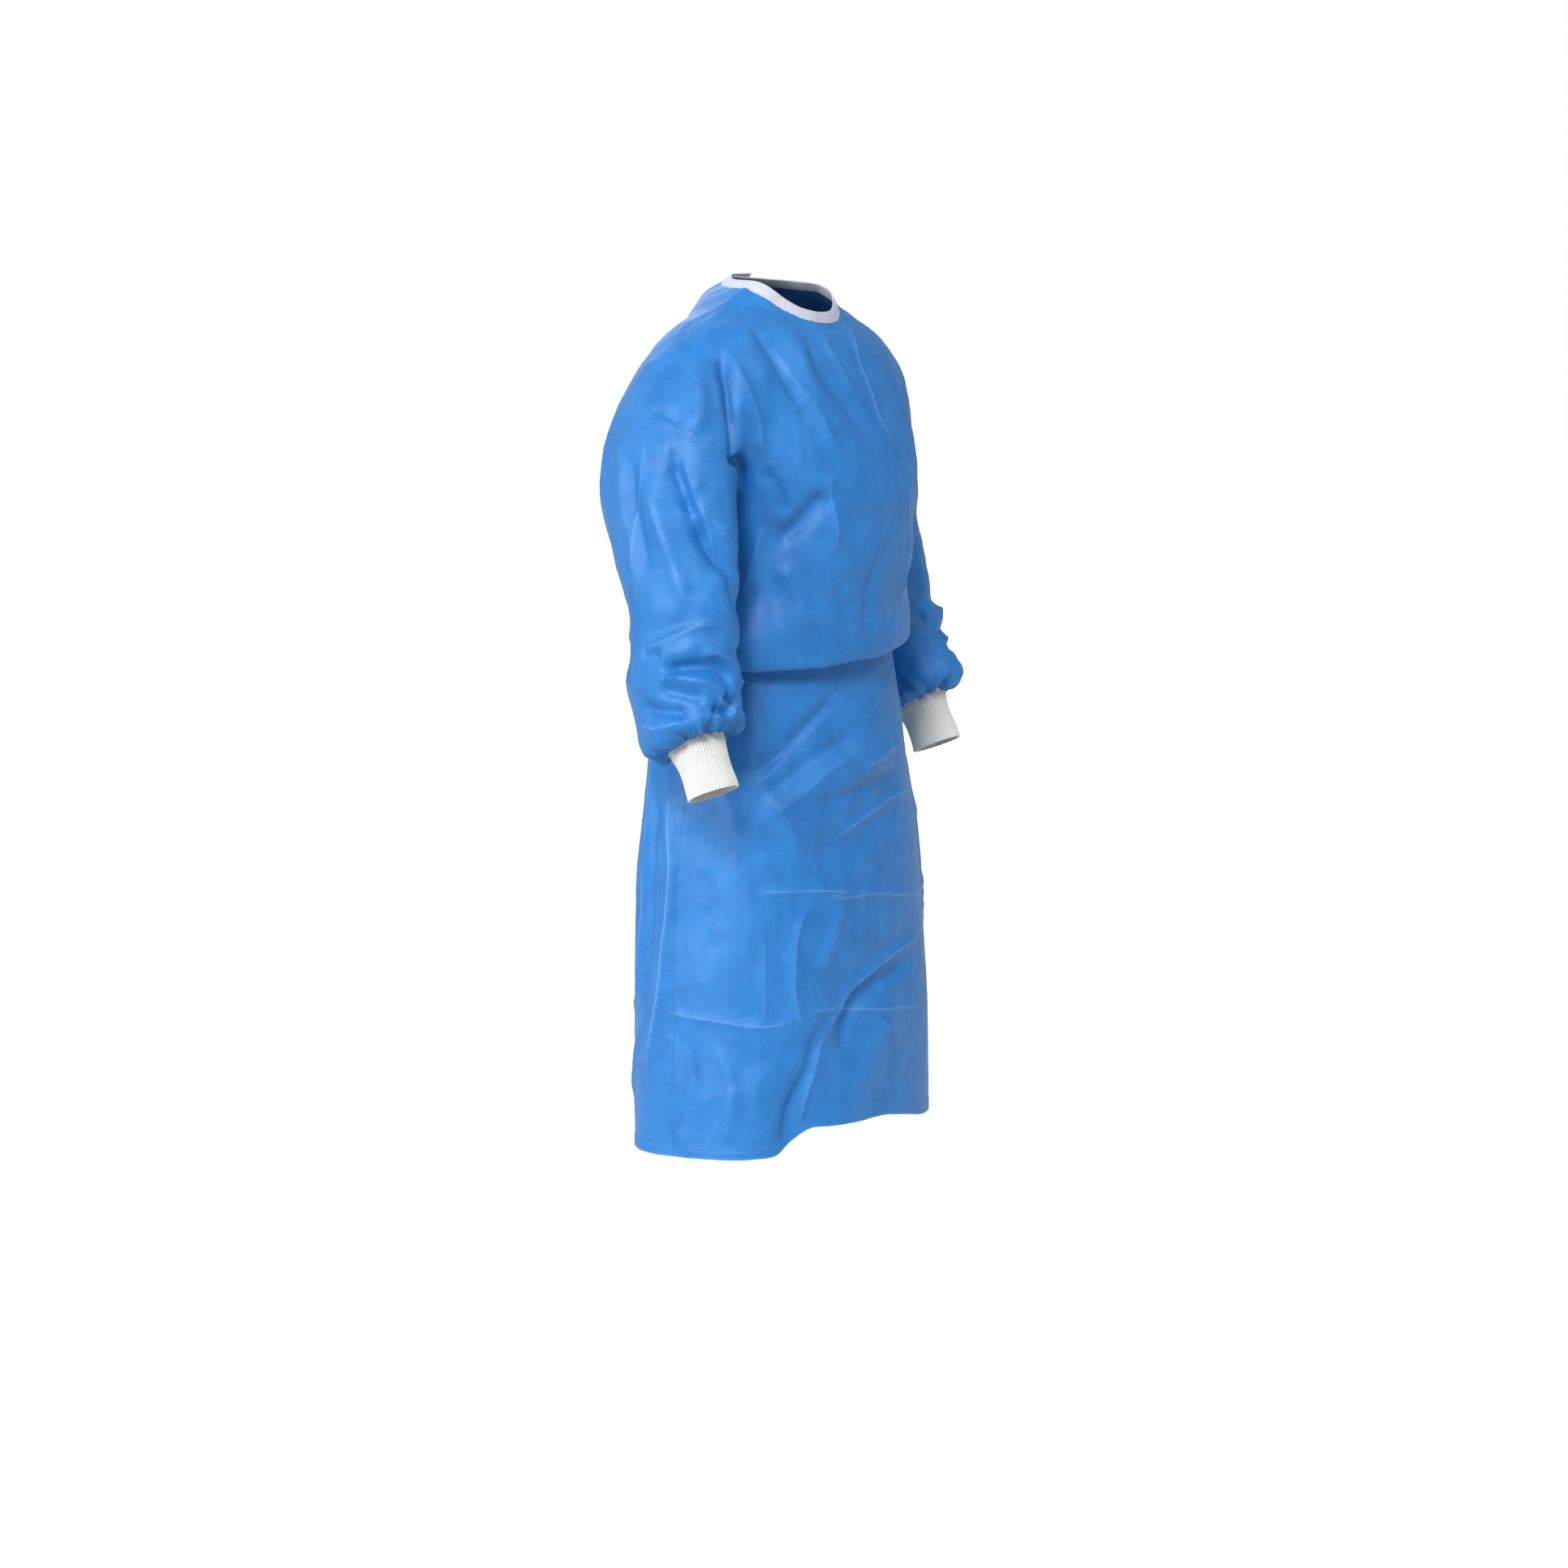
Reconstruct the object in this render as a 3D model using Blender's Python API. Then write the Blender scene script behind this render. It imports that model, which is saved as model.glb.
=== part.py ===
"""A surgical gown, worn and filled out with no wearer in it.

Metres, +Z up. The wearer faces -Y and the wearer's left is +X. The origin is where
the wearer's shoulders carry the gown: between them, at the height of the nape.

The cloth is one skin, cut into the pieces that a maker sews: a front, two backs that
lap behind, two sleeves, two knitted cuffs, the binding of the neck and the waist tie.
The skin is worked out from short tables of the body's sections and of the arms', and
its largest folds are the rows of another. Each piece is a grid on that skin with a
wall's thickness inside it.
"""

from collections import namedtuple

import bpy
import numpy as np

WALL = 0.0012            # nonwoven cloth, with what its fuzz adds
SEAM_GAP = 0.0003        # between two pieces that are sewn together
PIT_EASE = 0.0009        # the seams' extra room in the armpits, where the skin turns sharply
LAP = 0.0050             # how far the outer back lies off the inner one

# The body's sections, from the nape down. Right and left are alike.
Section = namedtuple("Section", "z half_width front back square")
BODY = (
    Section(+0.034, 0.040, 0.006, 0.0500, 2.0),
    Section(+0.022, 0.060, 0.022, 0.0685, 2.0),
    Section(+0.010, 0.085, 0.038, 0.0880, 2.0),
    Section(-0.0225, 0.127, 0.0690, 0.100, 2.1),
    Section(-0.042, 0.150, 0.092, 0.103, 2.2),
    Section(-0.065, 0.169, 0.105, 0.110, 2.3),
    Section(-0.088, 0.178, 0.115, 0.116, 2.4),
    Section(-0.135, 0.176, 0.134, 0.122, 2.4),
    Section(-0.182, 0.167, 0.150, 0.124, 2.4),
    Section(-0.230, 0.155, 0.160, 0.122, 2.3),
    Section(-0.290, 0.149, 0.158, 0.118, 2.2),
    Section(-0.345, 0.151, 0.145, 0.114, 2.2),
    Section(-0.385, 0.156, 0.130, 0.112, 2.2),
    Section(-0.412, 0.150, 0.116, 0.108, 2.2),
    Section(-0.440, 0.153, 0.119, 0.112, 2.2),
    Section(-0.480, 0.162, 0.127, 0.121, 2.2),
    Section(-0.550, 0.178, 0.131, 0.132, 2.25),
    Section(-0.600, 0.188, 0.135, 0.131, 2.3),
    Section(-0.800, 0.205, 0.147, 0.129, 2.35),
    Section(-1.070, 0.213, 0.153, 0.122, 2.4),
)

# The arms, from inside the neck to the wrist: where the middle of each sleeve runs, and
# how far the cloth stands off it. The right arm hangs further forward than the left.
ArmSection = namedtuple("ArmSection", "out y_right y_left z outer inner front back")
ARM = (
    ArmSection(0.060, +0.010, +0.016, -0.066, 0.060, 0.060, 0.066, 0.078),
    ArmSection(0.130, +0.006, +0.022, -0.094, 0.061, 0.060, 0.070, 0.076),
    ArmSection(0.180, +0.002, +0.030, -0.138, 0.062, 0.056, 0.078, 0.088),
    ArmSection(0.206, -0.004, +0.040, -0.200, 0.064, 0.048, 0.086, 0.094),
    ArmSection(0.220, -0.020, +0.042, -0.262, 0.063, 0.042, 0.081, 0.084),
    ArmSection(0.234, -0.041, +0.030, -0.340, 0.061, 0.043, 0.073, 0.073),
    ArmSection(0.243, -0.053, +0.002, -0.420, 0.060, 0.047, 0.067, 0.067),
    ArmSection(0.248, -0.064, -0.025, -0.480, 0.060, 0.047, 0.065, 0.066),
    ArmSection(0.251, -0.088, -0.050, -0.530, 0.060, 0.049, 0.062, 0.064),
    ArmSection(0.253, -0.125, -0.085, -0.620, 0.060, 0.049, 0.062, 0.064),
)
SIDES = {"right": -1, "left": +1}
SLEEVE_END = {"right": 0.526, "left": 0.519}   # along the arm's middle

# How the end of a sleeve is gathered in to its cuff: back from the end, and what part of
# its full size it is there.
Gather = namedtuple("Gather", "back share")
GATHERS = (
    Gather(0.026, 1.00), Gather(0.015, 1.03), Gather(0.006, 0.99),
    Gather(0.001, 0.87), Gather(-0.001, 0.72), Gather(-0.001, 0.58),
)
CUFF_LENGTH = 0.062
CUFF_WALL = 0.0018

# The middle of the waist: how far up it is, and how much the bodice blouses over the tie.
# Angles go round the body: 0 the wearer's left, 90 the front, 180 the right, 270 the back.
WaistPlace = namedtuple("WaistPlace", "angle z blouse")
WAIST = (
    WaistPlace(0, -0.406, 0.30), WaistPlace(45, -0.400, 0.75), WaistPlace(90, -0.405, 0.95),
    WaistPlace(150, -0.412, 1.00), WaistPlace(190, -0.412, 0.85), WaistPlace(240, -0.410, 0.35),
    WaistPlace(300, -0.408, 0.20), WaistPlace(330, -0.407, 0.04), WaistPlace(345, -0.407, 0.06),
    WaistPlace(360, -0.406, 0.30),
)
# The cloth's way past the tie, from the skirt up: from the waist's height and radius, and
# the height where the same row would be with no blousing.
Turn = namedtuple("Turn", "dz stand plain")
TURNS = (
    Turn(-0.042, 0.0045, -0.042), Turn(-0.022, 0.0010, -0.022), Turn(-0.004, 0.0000, -0.008),
    Turn(+0.011, 0.0012, +0.003), Turn(+0.017, 0.0070, +0.011), Turn(+0.007, 0.0125, +0.018),
    Turn(-0.010, 0.0150, +0.025), Turn(-0.013, 0.0195, +0.032), Turn(+0.001, 0.0235, +0.040),
    Turn(+0.024, 0.0240, +0.052),
)
TIE_WIDTH = 0.016
TIE_WALL = 0.0012
TIE_STAND = 0.0034
KNOT_ANGLE = 338.0
KNOT_WIDTH = 0.026
KNOT_HEIGHT = 0.022

# The neck's edge: a circle of this radius seen from above, and its height round it.
NECK_RADIUS = 0.0685
NECK_CENTRE_Y = -0.003
Level = namedtuple("Level", "angle z")
NECK = (
    Level(0, +0.012), Level(15, +0.003), Level(30, -0.007), Level(52, -0.0165), Level(90, -0.0240),
    Level(128, -0.0180), Level(150, -0.004), Level(165, +0.007), Level(180, +0.015),
    Level(210, +0.019), Level(270, +0.021), Level(330, +0.018), Level(360, +0.012),
)
BINDING_WIDTH = 0.0135
BINDING_WALL = 0.0018
# The binding stands up against the throat and lies flatter at the sides and the nape.
Stand = namedtuple("Stand", "angle share")
BINDING_STANDS = (
    Stand(0, 0.15), Stand(50, 0.7), Stand(90, 0.9), Stand(130, 0.7), Stand(180, 0.1), Stand(270, 0.1),
    Stand(360, 0.15),
)

# The hem's height round the skirt, with the step where a fold turns it up in front.
HEM = (
    Level(0, -1.002), Level(30, -0.996), Level(52, -0.990), Level(70, -0.980), Level(90, -0.973),
    Level(128, -0.972), Level(145, -1.001), Level(170, -1.005), Level(200, -1.008),
    Level(232, -1.012), Level(270, -1.012), Level(310, -1.010), Level(360, -1.002),
)

# How far past the middle of the back each back goes, in degrees, by height.
Past = namedtuple("Past", "z degrees")
PAST = (Past(+0.03, 17), Past(-0.10, 22), Past(-0.25, 27), Past(-0.42, 30), Past(-1.05, 40))

# The seam round the upper arm and the one over the shoulder.
Point = namedtuple("Point", "out y z")
ARMPIT = {"right": Point(0.161, -0.002, -0.2285), "left": Point(0.160, +0.022, -0.2260)}
BODICE_TOP = -0.268      # where the side seams leave the body for the armpits
SEAM_TOP = {"right": Point(0.264, -0.018, -0.124), "left": Point(0.262, +0.018, -0.124)}
ARMHOLE_FRONT = {
    "right": (Point(0.165, -0.048, -0.218), Point(0.202, -0.082, -0.180), Point(0.242, -0.062, -0.146)),
    "left": (Point(0.169, -0.030, -0.204), Point(0.200, -0.062, -0.174), Point(0.240, -0.042, -0.146)),
}
ARMHOLE_BACK = {
    "right": (Point(0.165, +0.050, -0.210), Point(0.204, +0.090, -0.176), Point(0.243, +0.062, -0.148)),
    "left": (Point(0.161, +0.064, -0.216), Point(0.204, +0.112, -0.178), Point(0.243, +0.086, -0.148)),
}
SHOULDER = (Point(0.238, +0.002, -0.082), Point(0.190, +0.008, -0.046), Point(0.130, +0.008, -0.008))

# The largest folds: a line on the skin, how wide and how deep. Ridges are positive.
# On the body a place is an angle and a height; on a sleeve an angle and a way along.
Fold = namedtuple("Fold", "part width depth places")
FOLDS = (
    # Down from the neck across the chest.
    Fold("body", 0.018, -0.0050, ((154, -0.020), (142, -0.072), (131, -0.120), (123, -0.165))),
    Fold("body", 0.018, +0.0035, ((138, -0.025), (128, -0.085), (113, -0.140))),
    Fold("body", 0.018, -0.0045, ((127, -0.020), (117, -0.084), (97, -0.139), (90, -0.165))),
    Fold("body", 0.022, -0.0050, ((123, -0.205), (132, -0.245), (141, -0.275), (150, -0.300))),
    Fold("body", 0.020, +0.0040, ((60, -0.250), (62, -0.310), (70, -0.360))),
    # Down and across the skirt from the waist.
    Fold("body", 0.026, -0.0055, ((100, -0.460), (114, -0.485), (136, -0.515), (158, -0.545))),
    Fold("body", 0.028, +0.0050, ((60, -0.520), (90, -0.545), (120, -0.575), (150, -0.625))),
    Fold("body", 0.028, -0.0050, ((40, -0.585), (80, -0.600), (118, -0.640), (140, -0.690))),
    Fold("body", 0.032, -0.0060, ((38, -0.765), (75, -0.785), (108, -0.820), (121, -0.870), (124, -0.950))),
    Fold("body", 0.030, +0.0050, ((60, -0.840), (90, -0.870), (104, -0.930), (108, -1.040))),
    Fold("body", 0.026, -0.0090, ((134, -0.890), (135, -0.960), (137, -1.080))),
    Fold("body", 0.030, +0.0060, ((150, -0.880), (153, -0.960), (156, -1.080))),
    Fold("body", 0.018, +0.0050, ((192, -0.520), (185, -0.600), (182, -0.680), (184, -0.780), (192, -0.930))),
    Fold("body", 0.026, -0.0045, ((172, -0.560), (170, -0.680), (170, -0.800))),
    # The flutes of the left side and of the back.
    Fold("body", 0.030, +0.0060, ((22, -0.500), (20, -0.700), (22, -0.900), (20, -1.080))),
    Fold("body", 0.030, -0.0060, ((2, -0.520), (0, -0.750), (4, -1.080))),
    Fold("body", 0.030, +0.0060, ((340, -0.600), (336, -0.800), (340, -1.080))),
    Fold("body", 0.034, -0.0060, ((316, -0.540), (318, -0.760), (314, -1.080))),
    Fold("body", 0.030, +0.0055, ((216, -0.560), (220, -0.760), (216, -1.080))),
    Fold("body", 0.034, -0.0060, ((236, -0.620), (238, -0.820), (234, -1.080))),
    Fold("body", 0.024, -0.0050, ((215, -0.140), (228, -0.200), (240, -0.270))),
    Fold("body", 0.024, -0.0050, ((325, -0.140), (314, -0.200), (300, -0.260))),
    # The sleeves hang in folds above the elbow and are heaped over the wrist.
    Fold("right", 0.016, -0.0055, ((146, 0.180), (138, 0.240), (122, 0.300), (104, 0.345))),
    Fold("right", 0.016, +0.0045, ((168, 0.200), (160, 0.270), (150, 0.340))),
    Fold("right", 0.015, -0.0055, ((196, 0.410), (170, 0.404), (135, 0.396), (96, 0.402))),
    Fold("right", 0.015, +0.0050, ((190, 0.432), (160, 0.424), (125, 0.420), (84, 0.430))),
    Fold("right", 0.014, -0.0055, ((176, 0.450), (150, 0.445), (118, 0.446), (86, 0.468))),
    Fold("right", 0.016, -0.0050, ((262, 0.300), (250, 0.360), (230, 0.400))),
    Fold("right", 0.016, -0.0050, ((30, 0.340), (60, 0.370), (96, 0.375))),
    Fold("left", 0.016, -0.0055, ((140, 0.190), (130, 0.250), (112, 0.310))),
    Fold("left", 0.015, -0.0055, ((190, 0.395), (160, 0.400), (120, 0.412), (80, 0.410))),
    Fold("left", 0.015, +0.0050, ((200, 0.420), (165, 0.422), (125, 0.432), (80, 0.436))),
    Fold("left", 0.014, -0.0055, ((180, 0.445), (150, 0.450), (110, 0.458), (70, 0.456))),
    Fold("left", 0.016, -0.0050, ((262, 0.290), (250, 0.350), (235, 0.400))),
    Fold("left", 0.016, -0.0050, ((30, 0.330), (60, 0.355), (96, 0.365))),
)

# Faces across and up.
SHOULDER_COLUMNS = 8
NECK_COLUMNS = 10
LAP_COLUMNS = 3
ARMHOLE_ROWS = 12
BODICE_ROWS = 4
SIDE_ROWS = 2
SKIRT_ROWS = 11
SLEEVE_ROWS = 13


def smooth_between(x, knots, values):
    """A smooth curve through the knots that doesn't overshoot them."""
    knots = np.asarray(knots, float)
    values = np.asarray(values, float)
    if knots[0] > knots[-1]:
        knots, values = knots[::-1], values[::-1]
    steps = np.diff(knots)
    slopes = np.diff(values) / steps
    rise = np.zeros(len(knots))
    rise[0], rise[-1] = slopes[0], slopes[-1]
    same = slopes[:-1] * slopes[1:] > 0
    total = np.where(same, slopes[:-1] + slopes[1:], 1.0)
    rise[1:-1] = np.where(same, 2 * slopes[:-1] * slopes[1:] / total, 0.0)
    x = np.asarray(x, float)
    i = np.clip(np.searchsorted(knots, x) - 1, 0, len(knots) - 2)
    t = np.clip((x - knots[i]) / steps[i], 0, 1)
    return (
        values[i] * (1 + 2 * t) * (1 - t) ** 2
        + steps[i] * rise[i] * t * (1 - t) ** 2
        + values[i + 1] * t * t * (3 - 2 * t)
        + steps[i] * rise[i + 1] * t * t * (t - 1)
    )


def ease(x, low, high):
    """0 below low, 1 above high, and smooth between them."""
    t = np.clip((np.asarray(x, float) - low) / (high - low), 0, 1)
    return t * t * (3 - 2 * t)


def column(table, name):
    return [getattr(row, name) for row in table]


def by_angle(table, angle, name="z"):
    return smooth_between(np.asarray(angle) % 360, column(table, "angle"), column(table, name))


def angle_of(points):
    return np.degrees(np.arctan2(-points[..., 1], points[..., 0])) % 360


def body_radius(angle, z):
    """How far the body's skin is from its axis, at an angle in degrees and a height."""
    a, front, back, square = (
        smooth_between(z, column(BODY, "z"), column(BODY, name))
        for name in ("half_width", "front", "back", "square")
    )
    turn = np.radians(angle)
    b = np.where(np.sin(turn) >= 0, front, back)
    across = (np.abs(np.cos(turn)) / a) ** square
    deep = (np.abs(np.sin(turn)) / b) ** square
    return (across + deep) ** (-1 / square)


def placed(angle, radius, z):
    turn = np.radians(angle)
    return np.stack(np.broadcast_arrays(radius * np.cos(turn), -radius * np.sin(turn), z), -1)


def body_point(angle, z):
    return placed(angle, body_radius(angle, z), z)


def body_field(points):
    """Negative inside the body's skin, positive outside it, in metres near it."""
    reach = np.hypot(points[..., 0], points[..., 1])
    return reach - body_radius(angle_of(points), points[..., 2])


Arm = namedtuple("Arm", "side points along tangent outward forward radii")
ARM_STEPS = 160


def arm_of(side):
    """The arm's middle line as close points, with its directions and the cloth's distances."""
    rows = np.array([[r.out * SIDES[side], getattr(r, "y_" + side), r.z] for r in ARM])
    knots = np.concatenate([[0], np.cumsum(np.linalg.norm(np.diff(rows, axis=0), axis=1))])
    along = np.linspace(0, knots[-1], ARM_STEPS)
    points = np.stack([smooth_between(along, knots, rows[:, k]) for k in range(3)], -1)
    tangent = np.gradient(points, along, axis=0)
    tangent /= np.linalg.norm(tangent, axis=1, keepdims=True)
    forward = np.array([0, -1.0, 0]) + tangent * tangent[:, 1:2]
    forward /= np.linalg.norm(forward, axis=1, keepdims=True)
    outward = np.cross(tangent, forward) * -SIDES[side]
    radii = np.stack(
        [smooth_between(along, knots, column(ARM, n)) for n in ("outer", "inner", "front", "back")], -1
    )
    return Arm(side, points, along, tangent, outward, forward, radii)


def arm_radius(arm, along, out, fore):
    """The cloth's distance from the arm's middle in the direction out, fore."""
    outer, inner, front, back = (np.interp(along, arm.along, arm.radii[:, k]) for k in range(4))
    size = np.hypot(out, fore) + 1e-12
    across = out / size / np.where(out > 0, outer, inner)
    deep = fore / size / np.where(fore > 0, front, back)
    return 1 / np.hypot(across, deep)


def arm_point(arm, along, turn, share=1.0):
    """A point of a sleeve: turn is 0 next to the body, 90 in front, 180 outside, 270 behind."""
    out, fore = -np.cos(np.radians(turn)), np.sin(np.radians(turn))
    radius = (arm_radius(arm, along, out, fore) * share)[..., None]

    def at(rows):
        return np.stack([np.interp(along, arm.along, rows[:, k]) for k in range(3)], -1)

    sideways = at(arm.outward) * out[..., None] + at(arm.forward) * fore[..., None]
    return at(arm.points) + radius * sideways


def arm_place(points, arm):
    """How far along the arm each point is, and the way out and forward to it from there."""
    flat = points.reshape(-1, 3)
    i = ((flat[:, None, :] - arm.points[None]) ** 2).sum(-1).argmin(1)
    off = flat - arm.points[i]
    slide = (off * arm.tangent[i]).sum(-1, keepdims=True)
    off = off - slide * arm.tangent[i]
    out = (off * arm.outward[i]).sum(-1)
    fore = (off * arm.forward[i]).sum(-1)
    shape = points.shape[:-1]
    return (arm.along[i] + slide[:, 0]).reshape(shape), out.reshape(shape), fore.reshape(shape)


def arm_field(points, arm):
    along, out, fore = arm_place(points, arm)
    before = np.minimum(along, 0)
    return np.hypot(np.hypot(out, fore), before) - arm_radius(arm, along, out, fore)


def softness(z):
    """How softly an arm flows into the body: freely over the shoulder, tight in the armpit."""
    return smooth_between(z, [-0.27, -0.235, -0.20, -0.15, -0.10], [0.010, 0.018, 0.026, 0.036, 0.050])


def skin_field(points, arms):
    """The body and the arms as one, rounded where they meet."""
    field = body_field(points)
    soft = softness(points[..., 2]) * (0.02 + 0.98 * ease(np.abs(points[..., 0]), 0.07, 0.14))
    for arm in arms:
        other = arm_field(points, arm)
        share = np.clip(0.5 + 0.5 * (other - field) / soft, 0, 1)
        field = other * (1 - share) + field * share - soft * share * (1 - share)
    return field


def settle(points, field, times=6, most=0.02):
    """Moves points onto the skin, where the field is nought."""
    step = 5e-4
    for _ in range(times):
        slope = np.stack(
            [(field(points + e) - field(points - e)) / (2 * step) for e in np.eye(3) * step], -1
        )
        size = np.maximum((slope ** 2).sum(-1, keepdims=True), 0.05)
        move = -field(points)[..., None] * slope / size
        long = np.linalg.norm(move, axis=-1, keepdims=True)
        points = points + move * np.minimum(1, most / np.maximum(long, 1e-9))
    return points


def even_curve(points, count):
    """count + 1 points evenly spaced along a smooth curve through the given ones."""
    points = np.asarray(points, float)
    knots = np.concatenate([[0], np.cumsum(np.linalg.norm(np.diff(points, axis=0), axis=1))])
    fine = np.linspace(0, knots[-1], 60 * len(points))
    curve = np.stack([smooth_between(fine, knots, points[:, k]) for k in range(3)], -1)
    run = np.concatenate([[0], np.cumsum(np.linalg.norm(np.diff(curve, axis=0), axis=1))])
    even = np.linspace(0, run[-1], count + 1)
    return np.stack([np.interp(even, run, curve[:, k]) for k in range(3)], -1)


def on_side(rows, side):
    return [(r.out * SIDES[side], r.y, r.z) for r in rows]


def neck_edge(angles):
    turn = np.radians(angles)
    x, y = NECK_RADIUS * np.cos(turn), NECK_CENTRE_Y - NECK_RADIUS * np.sin(turn)
    return np.stack([x, y, by_angle(NECK, angles)], -1)


def armhole(side, field):
    """The seam's points from the armpit up the front to the top, and from there down the back."""
    pit, top = on_side([ARMPIT[side]], side), on_side([SEAM_TOP[side]], side)
    front = even_curve(pit + on_side(ARMHOLE_FRONT[side], side) + top, ARMHOLE_ROWS)
    behind = even_curve(pit + on_side(ARMHOLE_BACK[side], side) + top, ARMHOLE_ROWS)
    return settle(front, field), settle(behind, field)


def shoulder(side, field):
    """The shoulder seam's points, from the top of the armhole to the neck."""
    top = on_side([SEAM_TOP[side]], side)
    neck = [tuple(neck_edge(np.array(0.0 if side == "left" else 180.0)))]
    return settle(even_curve(top + on_side(SHOULDER, side) + neck, SHOULDER_COLUMNS), field)


def side_edge(side, pit, field):
    """The side seam's last stretch, from the body's side up to the armpit."""
    start = body_point(angle_of(pit), np.array(BODICE_TOP))
    share = np.linspace(0, 1, SIDE_ROWS + 1)[:, None]
    line = start * (1 - share) + pit * share
    line[1:-1] = settle(line[1:-1], field)
    return line


def patch(bottom, top, first, last, bulge, field, rounds=80):
    """A grid between four edges, eased over the skin until its faces are even."""
    v = np.linspace(0, 1, len(first))[:, None, None]
    u = np.linspace(0, 1, len(bottom))[None, :, None]
    grid = (1 - v) * bottom[None] + v * top[None] + (1 - u) * first[:, None] + u * last[:, None]
    grid -= (1 - u) * ((1 - v) * bottom[0] + v * top[0]) + u * ((1 - v) * bottom[-1] + v * top[-1])
    grid = grid + np.asarray(bulge) * np.sin(np.pi * v) * np.sin(np.pi * u)
    inner = settle(grid[1:-1, 1:-1], field, times=10)
    grid[1:-1, 1:-1] = inner
    for _ in range(rounds):
        near = grid[:-2, 1:-1] + grid[2:, 1:-1] + grid[1:-1, :-2] + grid[1:-1, 2:]
        grid[1:-1, 1:-1] = settle(near / 4, field, times=1)
    return settle(grid, field, times=3)


def lower_rows(angles, rows_skirt, rows_bodice):
    """The body's cloth from the hem up to the armpits, at each column's angle by height."""
    skirt = np.linspace(0, 1, rows_skirt + 1)[:-1]
    out = []

    def plain(z):
        return body_point(angles(z), z)

    level = angles(np.full(1, -1.0))
    waist_z = by_angle(WAIST, level, "z")
    hem_z = by_angle(HEM, level)
    for s in skirt:
        out.append(plain(hem_z + (waist_z - 0.072 - hem_z) * s))
    level = angles(np.full(1, -0.41))
    waist_z = by_angle(WAIST, level, "z")
    blouse = by_angle(WAIST, level, "blouse")
    tight = body_radius(level, waist_z)
    for row in TURNS:
        full = placed(level, tight + row.stand, waist_z + row.dz)
        free = plain(waist_z + row.plain)
        share = blouse[..., None]
        out.append(free * (1 - share) + full * share)
    for s in np.linspace(0, 1, rows_bodice + 1)[1:]:
        out.append(plain(waist_z + 0.052 + (BODICE_TOP - waist_z - 0.052) * s))
    return np.array(out)


def past(z):
    return smooth_between(z, column(PAST, "z"), column(PAST, "degrees"))


def body_grid(piece, field):
    """A body piece's grid: rows from the hem up, columns from the wearer's left to right."""
    edges = {side: armhole(side, field) for side in SIDES}
    tops = {side: shoulder(side, field) for side in SIDES}
    pit = {side: edges[side][0][0] for side in SIDES}
    pit_angle = {"left": float(angle_of(pit["left"])), "right": float(angle_of(pit["right"]))}
    if pit_angle["left"] > 180:
        pit_angle["left"] -= 360

    def spread(start, end):
        return lambda share: start + (end - start) * share

    if piece == "front":
        share = np.linspace(0, 1, 2 * SHOULDER_COLUMNS + NECK_COLUMNS + 1)
        neck = neck_edge(np.linspace(0, 180, NECK_COLUMNS + 1))
        top = np.concatenate([tops["left"], settle(neck, field)[1:-1], tops["right"][::-1]])
        first, last = (
            np.concatenate([side_edge(side, edges[side][0][0], field)[:-1], edges[side][0]]) for side in ("left", "right")
        )
        bulge = (0, -0.03, 0)

        def angles(z):
            return pit_angle["left"] + (pit_angle["right"] - pit_angle["left"]) * share + 0 * z
    else:
        side = piece.split("_")[1]
        half = NECK_COLUMNS // 2 + LAP_COLUMNS
        share = np.linspace(0, 1, SHOULDER_COLUMNS + half + 1)
        start = pit_angle[side]
        sign = 1 if side == "right" else -1
        begin = 180.0 if side == "right" else 360.0
        neck = neck_edge(begin + sign * np.linspace(0, 90 + past(+0.03), half + 1))
        top = np.concatenate([tops[side], settle(neck, field)[1:]])
        free_z = np.linspace(BODICE_TOP, top[-1][2], SIDE_ROWS + ARMHOLE_ROWS + 1)
        free_angle = 270 + sign * past(free_z)
        free = body_point(free_angle, free_z)
        free[-1] = top[-1]
        first = np.concatenate([side_edge(side, edges[side][1][0], field)[:-1], edges[side][1]])
        last = settle(free, field)
        bulge = (0, +0.03, 0)
        start = start if side == "right" else start + 360

        def angles(z):
            return start + (270 + sign * past(z) - start) * share

    lower = lower_rows(angles, SKIRT_ROWS, BODICE_ROWS)
    lower[-1, 0] = first[0]
    lower[-1, -1] = last[0]
    upper = patch(lower[-1], top, first, last, bulge, field)
    return np.concatenate([lower[:-1], upper])


def sleeve_grid(side, arms, field):
    """A sleeve's grid: rows from the armhole down, columns from the armpit by the front."""
    arm = arms[list(SIDES).index(side)]
    front, behind = armhole(side, field)
    ring = np.concatenate([front, behind[::-1][1:-1]])
    count = len(ring)
    along, out, fore = arm_place(ring, arm)
    turn = np.degrees(np.arctan2(fore, -out)) % 360
    turn[0] = turn[0] if turn[0] < 180 else turn[0] - 360
    target = np.arange(count) * 360.0 / count
    turn = target + (turn - target + 180) % 360 - 180
    loose = ring - arm_point(arm, along, turn)
    end = SLEEVE_END[side]
    rows = [ring]
    for s in np.linspace(0, 1, SLEEVE_ROWS + 1)[1:] ** 1.25:
        at = along + (end - GATHERS[0].back - along) * s
        angle = turn + (target - turn) * ease(s, 0, 0.7)
        rows.append(arm_point(arm, at, angle) + loose * (1 - s) ** 5)
    for row in GATHERS[1:]:
        share = np.full(count, row.share)
        rows.append(arm_point(arm, np.full(count, end - row.back), target, share))
    return np.array(rows)


def cuff_grid(side, arms):
    arm = arms[list(SIDES).index(side)]
    count = 2 * ARMHOLE_ROWS
    turn = np.arange(count) * 360.0 / count
    rows = []
    for s, share in ((0.0, 0.575), (0.3, 0.535), (0.65, 0.52), (1.0, 0.515)):
        along = np.full(count, SLEEVE_END[side] + 0.001 + CUFF_LENGTH * s)
        rows.append(arm_point(arm, along, turn, np.full(count, share)))
    return np.array(rows)


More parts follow.
